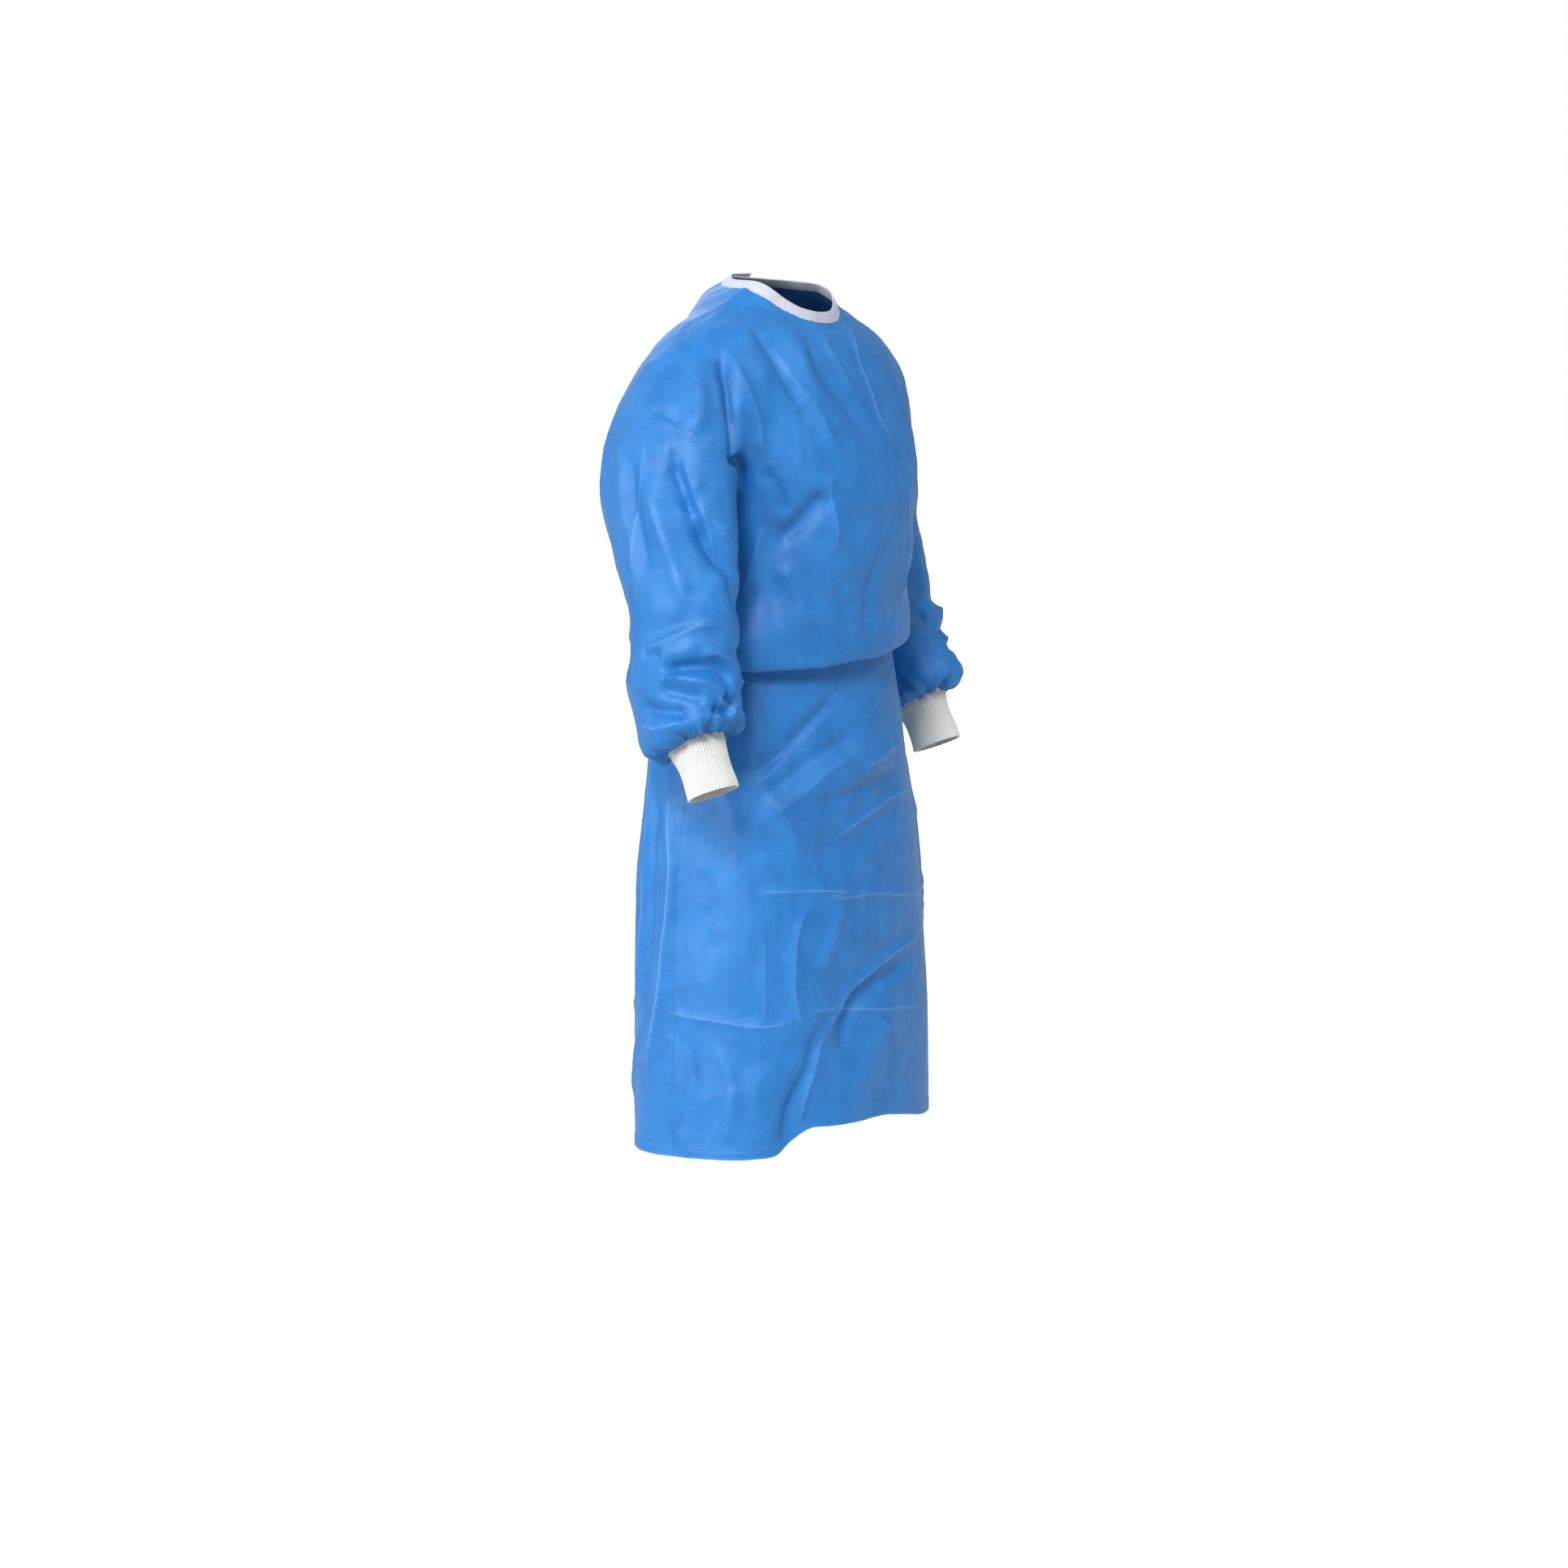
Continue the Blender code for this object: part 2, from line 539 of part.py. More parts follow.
def grid_faces(rows, columns, loop):
    across = columns if loop else columns - 1
    faces = []
    for r in range(rows - 1):
        for c in range(across):
            d = (c + 1) % columns
            faces.append((r * columns + c, r * columns + d, (r + 1) * columns + d, (r + 1) * columns + c))
    return faces


def face_normals(points, faces):
    """Each point's outward normal, from all the faces that share its place."""
    faces = np.array(faces)
    keys = np.round(points * 1e5).astype(np.int64)
    _, place = np.unique(keys, axis=0, return_inverse=True)
    place = place.ravel()
    total = np.zeros((place.max() + 1, 3))
    for k in range(4):
        here = points[faces[:, k]]
        one = points[faces[:, (k + 1) % 4]] - here
        two = points[faces[:, (k + 3) % 4]] - here
        across = np.cross(one, two)
        size = np.linalg.norm(across, axis=1)
        width = np.arctan2(size, (one * two).sum(1))
        np.add.at(total, place[faces[:, k]], across * (width / np.maximum(size, 1e-12))[:, None])
    normals = total[place]
    return normals / np.linalg.norm(normals, axis=1, keepdims=True)


def inset(grid, normals, loop, distance):
    """The grid with its border moved in along the skin, and further where three pieces meet."""
    pits = [on_side([ARMPIT[side]], side)[0] for side in SIDES]
    moved = grid.copy()
    rows, columns = grid.shape[:2]
    shift = np.zeros_like(grid)

    def pull(line, inner, where):
        run = np.gradient(line, axis=0)
        if loop and where[1] == slice(None):
            run = np.roll(line, -1, 0) - np.roll(line, 1, 0)
        across = np.cross(normals[where], run)
        across /= np.linalg.norm(across, axis=1, keepdims=True)
        across *= np.sign(((inner - line) * across).sum(1, keepdims=True))
        near = np.min([np.linalg.norm(line - np.array(pit), axis=1) for pit in pits], axis=0)
        shift[where] += across * (distance + PIT_EASE * np.exp(-((near / 0.016) ** 2)))[:, None]

    pull(grid[0], grid[1], (0, slice(None)))
    pull(grid[-1], grid[-2], (rows - 1, slice(None)))
    if not loop:
        pull(grid[:, 0], grid[:, 1], (slice(None), 0))
        pull(grid[:, -1], grid[:, -2], (slice(None), columns - 1))
    moved += shift
    return moved


def solid(name, grid, normals, loop, wall, colour, flip=False):
    """A closed piece: the grid outside, the wall's thickness inside it, and its borders."""
    rows, columns = grid.shape[:2]
    count = rows * columns
    outer = grid.reshape(-1, 3)
    inner = outer - wall * normals.reshape(-1, 3)
    skin = grid_faces(rows, columns, loop)
    faces = list(skin) + [tuple(count + i for i in reversed(face)) for face in skin]
    edges = [[c for c in range(columns)], [(rows - 1) * columns + c for c in reversed(range(columns))]]
    if loop:
        for edge in edges:
            edge.append(edge[0])
    else:
        edges = [
            edges[0] + [r * columns + columns - 1 for r in range(1, rows)]
            + edges[1][1:] + [r * columns for r in reversed(range(rows - 1))]
        ]
    for edge in edges:
        for a, b in zip(edge, edge[1:]):
            faces.append((b, a, count + a, count + b))
    if flip:
        faces = [tuple(reversed(face)) for face in faces]
    mesh = bpy.data.meshes.new(name)
    mesh.from_pydata([tuple(p) for p in np.concatenate([outer, inner])], [], faces)
    mesh.validate()
    for face in mesh.polygons:
        face.use_smooth = True
    thing = bpy.data.objects.new(name, mesh)
    collection.objects.link(thing)
    material = bpy.data.materials.new(name + "_material")
    material.use_nodes = True
    shader = material.node_tree.nodes["Principled BSDF"]
    shader.inputs["Base Color"].default_value = (*colour, 1)
    shader.inputs["Roughness"].default_value = 0.7
    mesh.materials.append(material)
    return thing


def ribbon(name, middles, wide, thick, width, wall, colour, loop=False):
    """A flat band: its middle line, the way across it and the way out of it at each point."""
    count = len(middles)
    halves, outs = np.broadcast_to(width, count) / 2, np.broadcast_to(wall, count) / 2
    corners = ((-1, -1), (1, -1), (1, 1), (-1, 1))
    points = np.concatenate(
        [[m + w * a * h + t * b * o for a, b in corners] for m, w, t, h, o in zip(middles, wide, thick, halves, outs)]
    )
    faces = []
    for i in range(count if loop else count - 1):
        j = (i + 1) % count
        for k in range(4):
            n = (k + 1) % 4
            faces.append((4 * j + k, 4 * j + n, 4 * i + n, 4 * i + k))
    if not loop:
        last = 4 * (count - 1)
        faces += [(0, 1, 2, 3), (last + 3, last + 2, last + 1, last)]
    mesh = bpy.data.meshes.new(name)
    if np.linalg.det([middles[1] - middles[0], wide[0], thick[0]]) > 0:
        faces = [tuple(reversed(face)) for face in faces]
    mesh.from_pydata([tuple(p) for p in points], [], faces)
    thing = bpy.data.objects.new(name, mesh)
    collection.objects.link(thing)
    material = bpy.data.materials.new(name + "_material")
    material.use_nodes = True
    shader = material.node_tree.nodes["Principled BSDF"]
    shader.inputs["Base Color"].default_value = (*colour, 1)
    shader.inputs["Roughness"].default_value = 0.7
    mesh.materials.append(material)
    return thing


def unit(v):
    return v / np.linalg.norm(v, axis=-1, keepdims=True)


def fold_depth(points, part, arms):
    """How far the largest folds move points of one part of the skin out or in."""
    depth = np.zeros(points.shape[:-1])
    for fold in FOLDS:
        if fold.part != part:
            continue
        if part == "body":
            line = np.array([body_point(np.array(float(a)), np.array(z)) for a, z in fold.places])
        else:
            arm = arms[list(SIDES).index(part)]
            line = np.array([arm_point(arm, np.array(s), np.array(float(a))) for a, s in fold.places])
        best = np.full(depth.shape, 1e9)
        where = np.zeros(depth.shape)
        runs = np.linalg.norm(np.diff(line, axis=0), axis=1)
        start = 0.0
        for a, b, run in zip(line, line[1:], runs):
            t = np.clip(((points - a) * (b - a)).sum(-1) / run ** 2, 0, 1)
            gap = np.linalg.norm(points - a - t[..., None] * (b - a), axis=-1)
            where = np.where(gap < best, (start + t * run) / runs.sum(), where)
            best = np.minimum(gap, best)
            start += run
        taper = ease(where, 0, 0.3) * ease(1 - where, 0, 0.3)
        depth += fold.depth * taper * np.exp(-((best / fold.width) ** 2))
    return depth


def lap_lift(grid, piece):
    """How far the outer back is off the skin, so that the inner one lies under it."""
    angle, z = angle_of(grid), grid[..., 2]
    if piece != "back_right":
        return np.zeros(grid.shape[:2])
    return LAP * ease(angle, 270 - past(z) - 24, 270 - past(z) - 4)


CLOTH = (0.045, 0.200, 0.580)
TRIM = (0.430, 0.520, 0.750)
TIE = (0.060, 0.230, 0.600)
KNIT = (0.780, 0.800, 0.820)

for old in list(bpy.data.objects):
    bpy.data.objects.remove(old, do_unlink=True)
collection = bpy.data.collections.new("surgical_gown")
bpy.context.scene.collection.children.link(collection)

arms = [arm_of(side) for side in SIDES]
field = lambda points: skin_field(points, arms)

grids = {piece: body_grid(piece, field) for piece in ("front", "back_right", "back_left")}
for side in SIDES:
    grids["sleeve_" + side] = sleeve_grid(side, arms, field)
flips = {"front": True, "back_right": True, "back_left": False, "sleeve_right": False, "sleeve_left": True}

# The folds move the skin before it is given its thickness.
points, faces, spans = [], [], {}
for name, grid in grids.items():
    loop = name.startswith("sleeve")
    rows, columns = grid.shape[:2]
    start = sum(len(p) for p in points)
    skin = [tuple(start + i for i in f) for f in grid_faces(rows, columns, loop)]
    if flips[name]:
        skin = [tuple(reversed(f)) for f in skin]
    points.append(grid.reshape(-1, 3))
    faces += skin
    spans[name] = (start, rows * columns)
whole = np.concatenate(points)
normals = face_normals(whole, faces)

lifted, outs = {}, {}
for name, grid in grids.items():
    start, count = spans[name]
    loop = name.startswith("sleeve")
    out = normals[start:start + count].reshape(grid.shape)
    move = lap_lift(grid, name)
    if loop:
        step = np.arange(grid.shape[0])
        fade = (ease(step, 0, 3) * ease(step[::-1], 1, 5))[:, None]
        move = move + fade * fold_depth(grid, name.split("_")[1], arms)
        move += (1 - ease(step, 0, 3))[:, None] * fold_depth(grid, "body", arms)
    else:
        move = move + fold_depth(grid, "body", arms)
    lifted[name], outs[name] = grid + out * move[..., None], out
    cut = inset(lifted[name], out, loop, SEAM_GAP / 2)
    solid(name, cut, out, loop, WALL, CLOTH, flip=flips[name])

for side in SIDES:
    grid = cuff_grid(side, arms)
    skin = grid_faces(*grid.shape[:2], True)
    if side == "left":
        skin = [tuple(reversed(f)) for f in skin]
    out = face_normals(grid.reshape(-1, 3), skin).reshape(grid.shape)
    solid("cuff_" + side, grid, out, True, CUFF_WALL, KNIT, flip=side == "left")

# The binding of the neck runs from the inner back round the front to the outer back.
def neck_part(rows):
    s = SHOULDER_COLUMNS
    return np.concatenate(
        [rows["back_left"][-1, s:][::-1], rows["front"][-1, s:-s][1:-1], rows["back_right"][-1, s:]]
    )


edge = neck_part(lifted)
knots = np.concatenate([[0], np.cumsum(np.linalg.norm(np.diff(edge, axis=0), axis=1))])
steps = np.linspace(0, knots[-1], 73)
edge, out = (
    np.stack([smooth_between(steps, knots, rows[:, k]) for k in range(3)], -1) for rows in (edge, neck_part(outs))
)
out = unit(out)
rise = unit(np.cross(np.gradient(edge, axis=0), out))
stand = by_angle(BINDING_STANDS, angle_of(edge), "share")[:, None]
rise = unit(rise * np.sign(rise[:, 2:]) + stand * np.array([0, 0, 1.0]))
out = unit(out - rise * (out * rise).sum(-1, keepdims=True))
middles = edge - out * WALL / 2 + rise * (BINDING_WIDTH / 2 + 0.0011)
ribbon("neck_binding", middles, rise, out, BINDING_WIDTH, BINDING_WALL, TRIM)

# The tie goes once round the waist, under the bodice, and its two ends hang at the left.
turns = np.linspace(KNOT_ANGLE - 360, KNOT_ANGLE, 61)
level = by_angle(WAIST, turns) - 0.001
lap = LAP * ease(turns, 270 - past(-0.41) - 24, 270 - past(-0.41) - 4)
radius = body_radius(turns, level + 0.001) + TIE_STAND + lap
middles = placed(turns, radius, level)
out = placed(turns, np.ones(len(turns)), 0 * turns)
up = np.tile([0, 0, 1.0], (59, 1))
ribbon("waist_tie", middles[1:-1], up, out[1:-1], TIE_WIDTH, TIE_WALL, TIE)

# Its knot, and the two ends that hang from it.
middle = by_angle(WAIST, KNOT_ANGLE) - 0.002
heights = middle + np.linspace(0.5, -0.5, 9) * KNOT_HEIGHT
bulge = (1 - np.linspace(-0.94, 0.94, 9) ** 2) ** 0.25
reach = body_radius(KNOT_ANGLE, middle) + 0.0062
middles = placed(np.full(9, KNOT_ANGLE), np.full(9, reach), heights)
facing = placed(np.full(9, KNOT_ANGLE), np.ones(9), 0 * heights)
aside = placed(np.full(9, KNOT_ANGLE + 90), np.ones(9), 0 * heights)
ribbon("tie_knot", middles, aside, facing, KNOT_WIDTH * bulge, 0.0066 * bulge, TIE)
for name, lean, length in (("tie_end_long", +3.5, 0.150), ("tie_end_short", -3.5, 0.120)):
    share = np.linspace(0, 1, 12)
    z = middle - KNOT_HEIGHT / 2 - 0.0006 - length * share
    angle = KNOT_ANGLE + lean * (1 + 1.2 * share)
    reach = body_radius(angle, z) + 0.0052 - 0.001 * share
    middles = placed(angle, reach, z)
    facing = placed(angle, np.ones(12), 0 * z)
    aside = unit(np.cross(np.gradient(middles, axis=0), facing))
    facing = unit(np.cross(aside, np.gradient(middles, axis=0)))
    facing *= np.sign((facing * placed(angle, np.ones(12), 0 * z)).sum(1, keepdims=True))
    ribbon(name, middles, aside, facing, TIE_WIDTH, TIE_WALL, TIE)

total = 0
for thing in collection.objects:
    thing.data.calc_loop_triangles()
    total += len(thing.data.loop_triangles)
    box = [tuple(round(v, 3) for v in c) for c in (thing.bound_box[0], thing.bound_box[6])]
    print(thing.name, len(thing.data.loop_triangles), box)
print("triangles", total)
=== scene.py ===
# %% [markdown]
# A surgical gown, worn and filled out with nobody in it.
#
# The real gown is thin nonwoven cloth, cut flat into a front, two backs and two sleeves,
# with knitted cuffs, a bound neck and a tie at the waist. What makes it look like cloth is
# its form: it hangs from the shoulders, blouses over the tie and heaps up over the wrists.
# So this scene makes each piece as a fine grid on the same skin as the CAD solid that it
# stands for, and then presses the folds and creases into it one by one.
#
# A cloth simulation was the other way. It needs a body inside to hold the gown up, and it
# would have put the folds in other places than the real ones. Placed folds stay put.

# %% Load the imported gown
from collections import namedtuple

import bpy
import numpy as np
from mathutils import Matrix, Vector


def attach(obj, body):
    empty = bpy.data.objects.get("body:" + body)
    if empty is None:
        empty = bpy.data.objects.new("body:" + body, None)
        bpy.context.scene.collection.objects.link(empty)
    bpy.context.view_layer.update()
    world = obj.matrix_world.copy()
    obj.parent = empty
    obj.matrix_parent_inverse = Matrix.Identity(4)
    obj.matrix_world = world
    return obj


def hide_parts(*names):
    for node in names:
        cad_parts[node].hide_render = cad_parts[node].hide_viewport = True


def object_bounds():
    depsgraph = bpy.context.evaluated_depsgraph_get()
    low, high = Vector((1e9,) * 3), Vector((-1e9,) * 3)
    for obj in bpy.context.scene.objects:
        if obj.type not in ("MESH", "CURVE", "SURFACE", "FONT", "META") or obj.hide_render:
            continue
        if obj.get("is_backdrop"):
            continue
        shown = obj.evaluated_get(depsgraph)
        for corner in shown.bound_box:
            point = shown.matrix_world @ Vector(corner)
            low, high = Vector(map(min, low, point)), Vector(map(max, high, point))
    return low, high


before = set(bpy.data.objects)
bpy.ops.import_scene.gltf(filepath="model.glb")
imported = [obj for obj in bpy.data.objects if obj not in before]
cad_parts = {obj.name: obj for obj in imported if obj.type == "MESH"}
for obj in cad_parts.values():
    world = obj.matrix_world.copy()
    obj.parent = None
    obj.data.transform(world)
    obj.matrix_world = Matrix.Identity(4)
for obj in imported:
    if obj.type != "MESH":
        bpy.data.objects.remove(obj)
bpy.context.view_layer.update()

BODY_NAME = "root"
print("nodes:", ", ".join(sorted(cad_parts)))

# %% [markdown]
# The camera comes first, so that every look at the gown is from the right side. The gown
# was photographed from its front right, from four and a half metres away and about as high
# as its neck, with a long lens. The same distance matters more than the same lens: it
# settles how much the near sleeve is larger than the far one.

# %% Place the camera
CAMERA_DISTANCE = 4.5
CAMERA_HEIGHT = 1.35               # above the floor
FLOOR = -1.40                      # below the shoulders, where a wearer would stand
TOWARDS_CAMERA = Vector((-0.788, -0.6157, 0.0))
AIM_SIDEWAYS = 0.00725             # the lens points a little to the right of the gown's axis
AIM_DOWN = 6.75                    # degrees
FOCAL_LENGTH = 84.9                # on a 36 mm wide sensor
AXIS = Vector((0.0, 0.033, 0.0))

to_right = Vector((-TOWARDS_CAMERA.y, TOWARDS_CAMERA.x, 0.0))
level_aim = (-TOWARDS_CAMERA + AIM_SIDEWAYS * to_right).normalized()
tilt = np.radians(AIM_DOWN)
camera = bpy.data.objects.new("camera", bpy.data.cameras.new("camera"))
camera.location = AXIS + CAMERA_DISTANCE * TOWARDS_CAMERA + Vector((0, 0, FLOOR + CAMERA_HEIGHT))
aim = level_aim * float(np.cos(tilt)) - Vector((0, 0, float(np.sin(tilt))))
camera.rotation_mode = "QUATERNION"
camera.rotation_quaternion = aim.to_track_quat("-Z", "Y")
camera.data.sensor_width = 36
camera.data.lens = FOCAL_LENGTH
bpy.context.scene.collection.objects.link(camera)
bpy.context.scene.camera = camera
print("camera at", tuple(round(v, 3) for v in camera.location))

# %% [markdown]
# The gown's form is a skin round a body and two arms. It could be sculpted, but a sculpted
# form is hard to keep in step with the CAD. Here, as in the CAD, the skin is worked out
# from short tables: the body's sections from the nape down, and the arms' from the neck to
# the wrist. A smooth curve runs through each column of a table.

# %% Sizes of the body and the arms
Section = namedtuple("Section", "z half_width front back square")
BODY = (
    Section(+0.034, 0.040, 0.006, 0.0500, 2.0),
    Section(+0.022, 0.060, 0.022, 0.0685, 2.0),
    Section(+0.010, 0.085, 0.038, 0.0880, 2.0),
    Section(-0.0225, 0.127, 0.0690, 0.100, 2.1),
    Section(-0.042, 0.150, 0.092, 0.103, 2.2),
    Section(-0.065, 0.169, 0.105, 0.110, 2.3),
    Section(-0.088, 0.178, 0.115, 0.116, 2.4),
    Section(-0.135, 0.176, 0.134, 0.122, 2.4),
    Section(-0.182, 0.167, 0.150, 0.124, 2.4),
    Section(-0.230, 0.155, 0.160, 0.122, 2.3),
    Section(-0.290, 0.149, 0.158, 0.118, 2.2),
    Section(-0.345, 0.151, 0.145, 0.114, 2.2),
    Section(-0.385, 0.156, 0.130, 0.112, 2.2),
    Section(-0.412, 0.150, 0.116, 0.108, 2.2),
    Section(-0.440, 0.153, 0.119, 0.112, 2.2),
    Section(-0.480, 0.162, 0.127, 0.121, 2.2),
    Section(-0.550, 0.178, 0.131, 0.132, 2.25),
    Section(-0.600, 0.188, 0.135, 0.131, 2.3),
    Section(-0.800, 0.205, 0.147, 0.129, 2.35),
    Section(-1.070, 0.213, 0.153, 0.122, 2.4),
)

ArmSection = namedtuple("ArmSection", "out y_right y_left z outer inner front back")
ARM = (
    ArmSection(0.060, +0.010, +0.016, -0.066, 0.060, 0.060, 0.066, 0.078),
    ArmSection(0.130, +0.006, +0.022, -0.094, 0.061, 0.060, 0.070, 0.076),
    ArmSection(0.180, +0.002, +0.030, -0.138, 0.062, 0.056, 0.078, 0.088),
    ArmSection(0.206, -0.004, +0.040, -0.200, 0.064, 0.048, 0.086, 0.094),
    ArmSection(0.220, -0.020, +0.042, -0.262, 0.063, 0.042, 0.081, 0.084),
    ArmSection(0.234, -0.041, +0.030, -0.340, 0.061, 0.043, 0.073, 0.073),
    ArmSection(0.243, -0.053, +0.002, -0.420, 0.060, 0.047, 0.067, 0.067),
    ArmSection(0.248, -0.064, -0.025, -0.480, 0.060, 0.047, 0.065, 0.066),
    ArmSection(0.251, -0.088, -0.050, -0.530, 0.060, 0.049, 0.062, 0.064),
    ArmSection(0.253, -0.125, -0.085, -0.620, 0.060, 0.049, 0.062, 0.064),
)
SIDES = {"right": -1, "left": +1}
SLEEVE_END = {"right": 0.526, "left": 0.519}   # along the arm's middle
print("sections:", len(BODY), "of the body,", len(ARM), "of an arm")

# %% A smooth curve through the knots of a table
def smooth_between(x, knots, values):
    """A smooth curve through the knots that doesn't overshoot them."""
    knots = np.asarray(knots, float)
    values = np.asarray(values, float)
    if knots[0] > knots[-1]:
        knots, values = knots[::-1], values[::-1]
    steps = np.diff(knots)
    slopes = np.diff(values) / steps
    rise = np.zeros(len(knots))
    rise[0], rise[-1] = slopes[0], slopes[-1]
    same = slopes[:-1] * slopes[1:] > 0
    total = np.where(same, slopes[:-1] + slopes[1:], 1.0)
    rise[1:-1] = np.where(same, 2 * slopes[:-1] * slopes[1:] / total, 0.0)
    x = np.asarray(x, float)
    i = np.clip(np.searchsorted(knots, x) - 1, 0, len(knots) - 2)
    t = np.clip((x - knots[i]) / steps[i], 0, 1)
    return (
        values[i] * (1 + 2 * t) * (1 - t) ** 2
        + steps[i] * rise[i] * t * (1 - t) ** 2
        + values[i + 1] * t * t * (3 - 2 * t)
        + steps[i] * rise[i + 1] * t * t * (t - 1)
    )


def ease(x, low, high):
    """0 below low, 1 above high, and smooth between them."""
    t = np.clip((np.asarray(x, float) - low) / (high - low), 0, 1)
    return t * t * (3 - 2 * t)


def column(table, name):
    return [getattr(row, name) for row in table]


def by_angle(table, angle, name="z"):
    return smooth_between(np.asarray(angle) % 360, column(table, "angle"), column(table, name))


def unit(v):
    return v / np.maximum(np.linalg.norm(v, axis=-1, keepdims=True), 1e-12)


print("halfway down the body it is", round(float(smooth_between(-0.5, column(BODY, "z"),
      column(BODY, "half_width"))) * 2, 3), "m wide")

# %% The body's skin
def angle_of(points):
    """Round the body: 0 at the wearer's left, 90 in front, 180 at the right, 270 behind."""
    return np.degrees(np.arctan2(-points[..., 1], points[..., 0])) % 360


def body_radius(angle, z):
    a, front, back, square = (
        smooth_between(z, column(BODY, "z"), column(BODY, name))
        for name in ("half_width", "front", "back", "square")
    )
    turn = np.radians(angle)
    b = np.where(np.sin(turn) >= 0, front, back)
    across = (np.abs(np.cos(turn)) / a) ** square
    deep = (np.abs(np.sin(turn)) / b) ** square
    return (across + deep) ** (-1 / square)


def placed(angle, radius, z):
    turn = np.radians(angle)
    return np.stack(np.broadcast_arrays(radius * np.cos(turn), -radius * np.sin(turn), z), -1)


def body_point(angle, z):
    return placed(angle, body_radius(angle, z), z)


def body_field(points):
    """Negative inside the body's skin and positive outside it."""
    reach = np.hypot(points[..., 0], points[..., 1])
    return reach - body_radius(angle_of(points), points[..., 2])


print("the chest's front is at y =", round(float(body_point(np.array(90.0), np.array(-0.2))[1]), 3))

# %% The arms' skin
Arm = namedtuple("Arm", "side points along tangent outward forward radii")
ARM_STEPS = 160


def arm_of(side):
    """The arm's middle line as close points, with its directions and the cloth's distances."""
    rows = np.array([[r.out * SIDES[side], getattr(r, "y_" + side), r.z] for r in ARM])
    knots = np.concatenate([[0], np.cumsum(np.linalg.norm(np.diff(rows, axis=0), axis=1))])
    along = np.linspace(0, knots[-1], ARM_STEPS)
    points = np.stack([smooth_between(along, knots, rows[:, k]) for k in range(3)], -1)
    tangent = unit(np.gradient(points, along, axis=0))
    forward = unit(np.array([0, -1.0, 0]) + tangent * tangent[:, 1:2])
    outward = np.cross(tangent, forward) * -SIDES[side]
    radii = np.stack(
        [smooth_between(along, knots, column(ARM, n)) for n in ("outer", "inner", "front", "back")], -1
    )
    return Arm(side, points, along, tangent, outward, forward, radii)


def arm_radius(arm, along, out, fore):
    outer, inner, front, back = (np.interp(along, arm.along, arm.radii[:, k]) for k in range(4))
    size = np.hypot(out, fore) + 1e-12
    across = out / size / np.where(out > 0, outer, inner)
    deep = fore / size / np.where(fore > 0, front, back)
    return 1 / np.hypot(across, deep)


def arm_point(arm, along, turn, share=1.0):
    """A point of a sleeve: turn is 0 next to the body, 90 in front, 180 outside, 270 behind."""
    out, fore = -np.cos(np.radians(turn)), np.sin(np.radians(turn))
    radius = (arm_radius(arm, along, out, fore) * share)[..., None]

    def at(rows):
        return np.stack([np.interp(along, arm.along, rows[:, k]) for k in range(3)], -1)

    sideways = at(arm.outward) * out[..., None] + at(arm.forward) * fore[..., None]
    return at(arm.points) + radius * sideways


def arm_place(points, arm):
    """How far along the arm each point is, and the way out and forward to it from there."""
    flat = points.reshape(-1, 3)
    i = ((flat[:, None, :] - arm.points[None]) ** 2).sum(-1).argmin(1)
    off = flat - arm.points[i]
    slide = (off * arm.tangent[i]).sum(-1, keepdims=True)
    off = off - slide * arm.tangent[i]
    out = (off * arm.outward[i]).sum(-1)
    fore = (off * arm.forward[i]).sum(-1)
    shape = points.shape[:-1]
    return (arm.along[i] + slide[:, 0]).reshape(shape), out.reshape(shape), fore.reshape(shape)


arms = {side: arm_of(side) for side in SIDES}
print("an arm's middle line is", round(float(arms["right"].along[-1]), 3), "m long")

# %% [markdown]
# Where an arm meets the body the cloth runs over from one to the other. Each of them has a
# field, negative inside and positive outside, and a soft minimum of the fields rounds the
# meeting. Points are then moved down the slope of the joined field until it is nought.

# %% One skin over the body and the arms
def arm_field(points, arm):
    along, out, fore = arm_place(points, arm)
    before = np.minimum(along, 0)
    return np.hypot(np.hypot(out, fore), before) - arm_radius(arm, along, out, fore)


def skin_field(points):
    field = body_field(points)
    soft = smooth_between(
        points[..., 2], [-0.27, -0.235, -0.20, -0.15, -0.10], [0.010, 0.018, 0.026, 0.036, 0.050]
    )
    soft = soft * (0.02 + 0.98 * ease(np.abs(points[..., 0]), 0.07, 0.14))
    for arm in arms.values():
        other = arm_field(points, arm)
        share = np.clip(0.5 + 0.5 * (other - field) / soft, 0, 1)
        field = other * (1 - share) + field * share - soft * share * (1 - share)
    return field


def settle(points, times=6, most=0.02):
    """Moves points onto the skin."""
    step = 5e-4
    for _ in range(times):
        slope = np.stack(
            [(skin_field(points + e) - skin_field(points - e)) / (2 * step) for e in np.eye(3) * step], -1
        )
        size = np.maximum((slope ** 2).sum(-1, keepdims=True), 0.05)
        move = -skin_field(points)[..., None] * slope / size
        long = np.linalg.norm(move, axis=-1, keepdims=True)
        points = points + move * np.minimum(1, most / np.maximum(long, 1e-9))
    return points


def even_curve(points, count):
    """count + 1 points evenly spaced along a smooth curve through the given ones."""
    points = np.asarray(points, float)
    knots = np.concatenate([[0], np.cumsum(np.linalg.norm(np.diff(points, axis=0), axis=1))])
    fine = np.linspace(0, knots[-1], 60 * len(points))
    curve = np.stack([smooth_between(fine, knots, points[:, k]) for k in range(3)], -1)
    run = np.concatenate([[0], np.cumsum(np.linalg.norm(np.diff(curve, axis=0), axis=1))])
    even = np.linspace(0, run[-1], count + 1)
    return np.stack([np.interp(even, run, curve[:, k]) for k in range(3)], -1)


print("the skin passes", round(float(skin_field(np.array([[0.30, 0.0, -0.1]]))[0]) * 1000),
      "mm inside a point beside the shoulder")

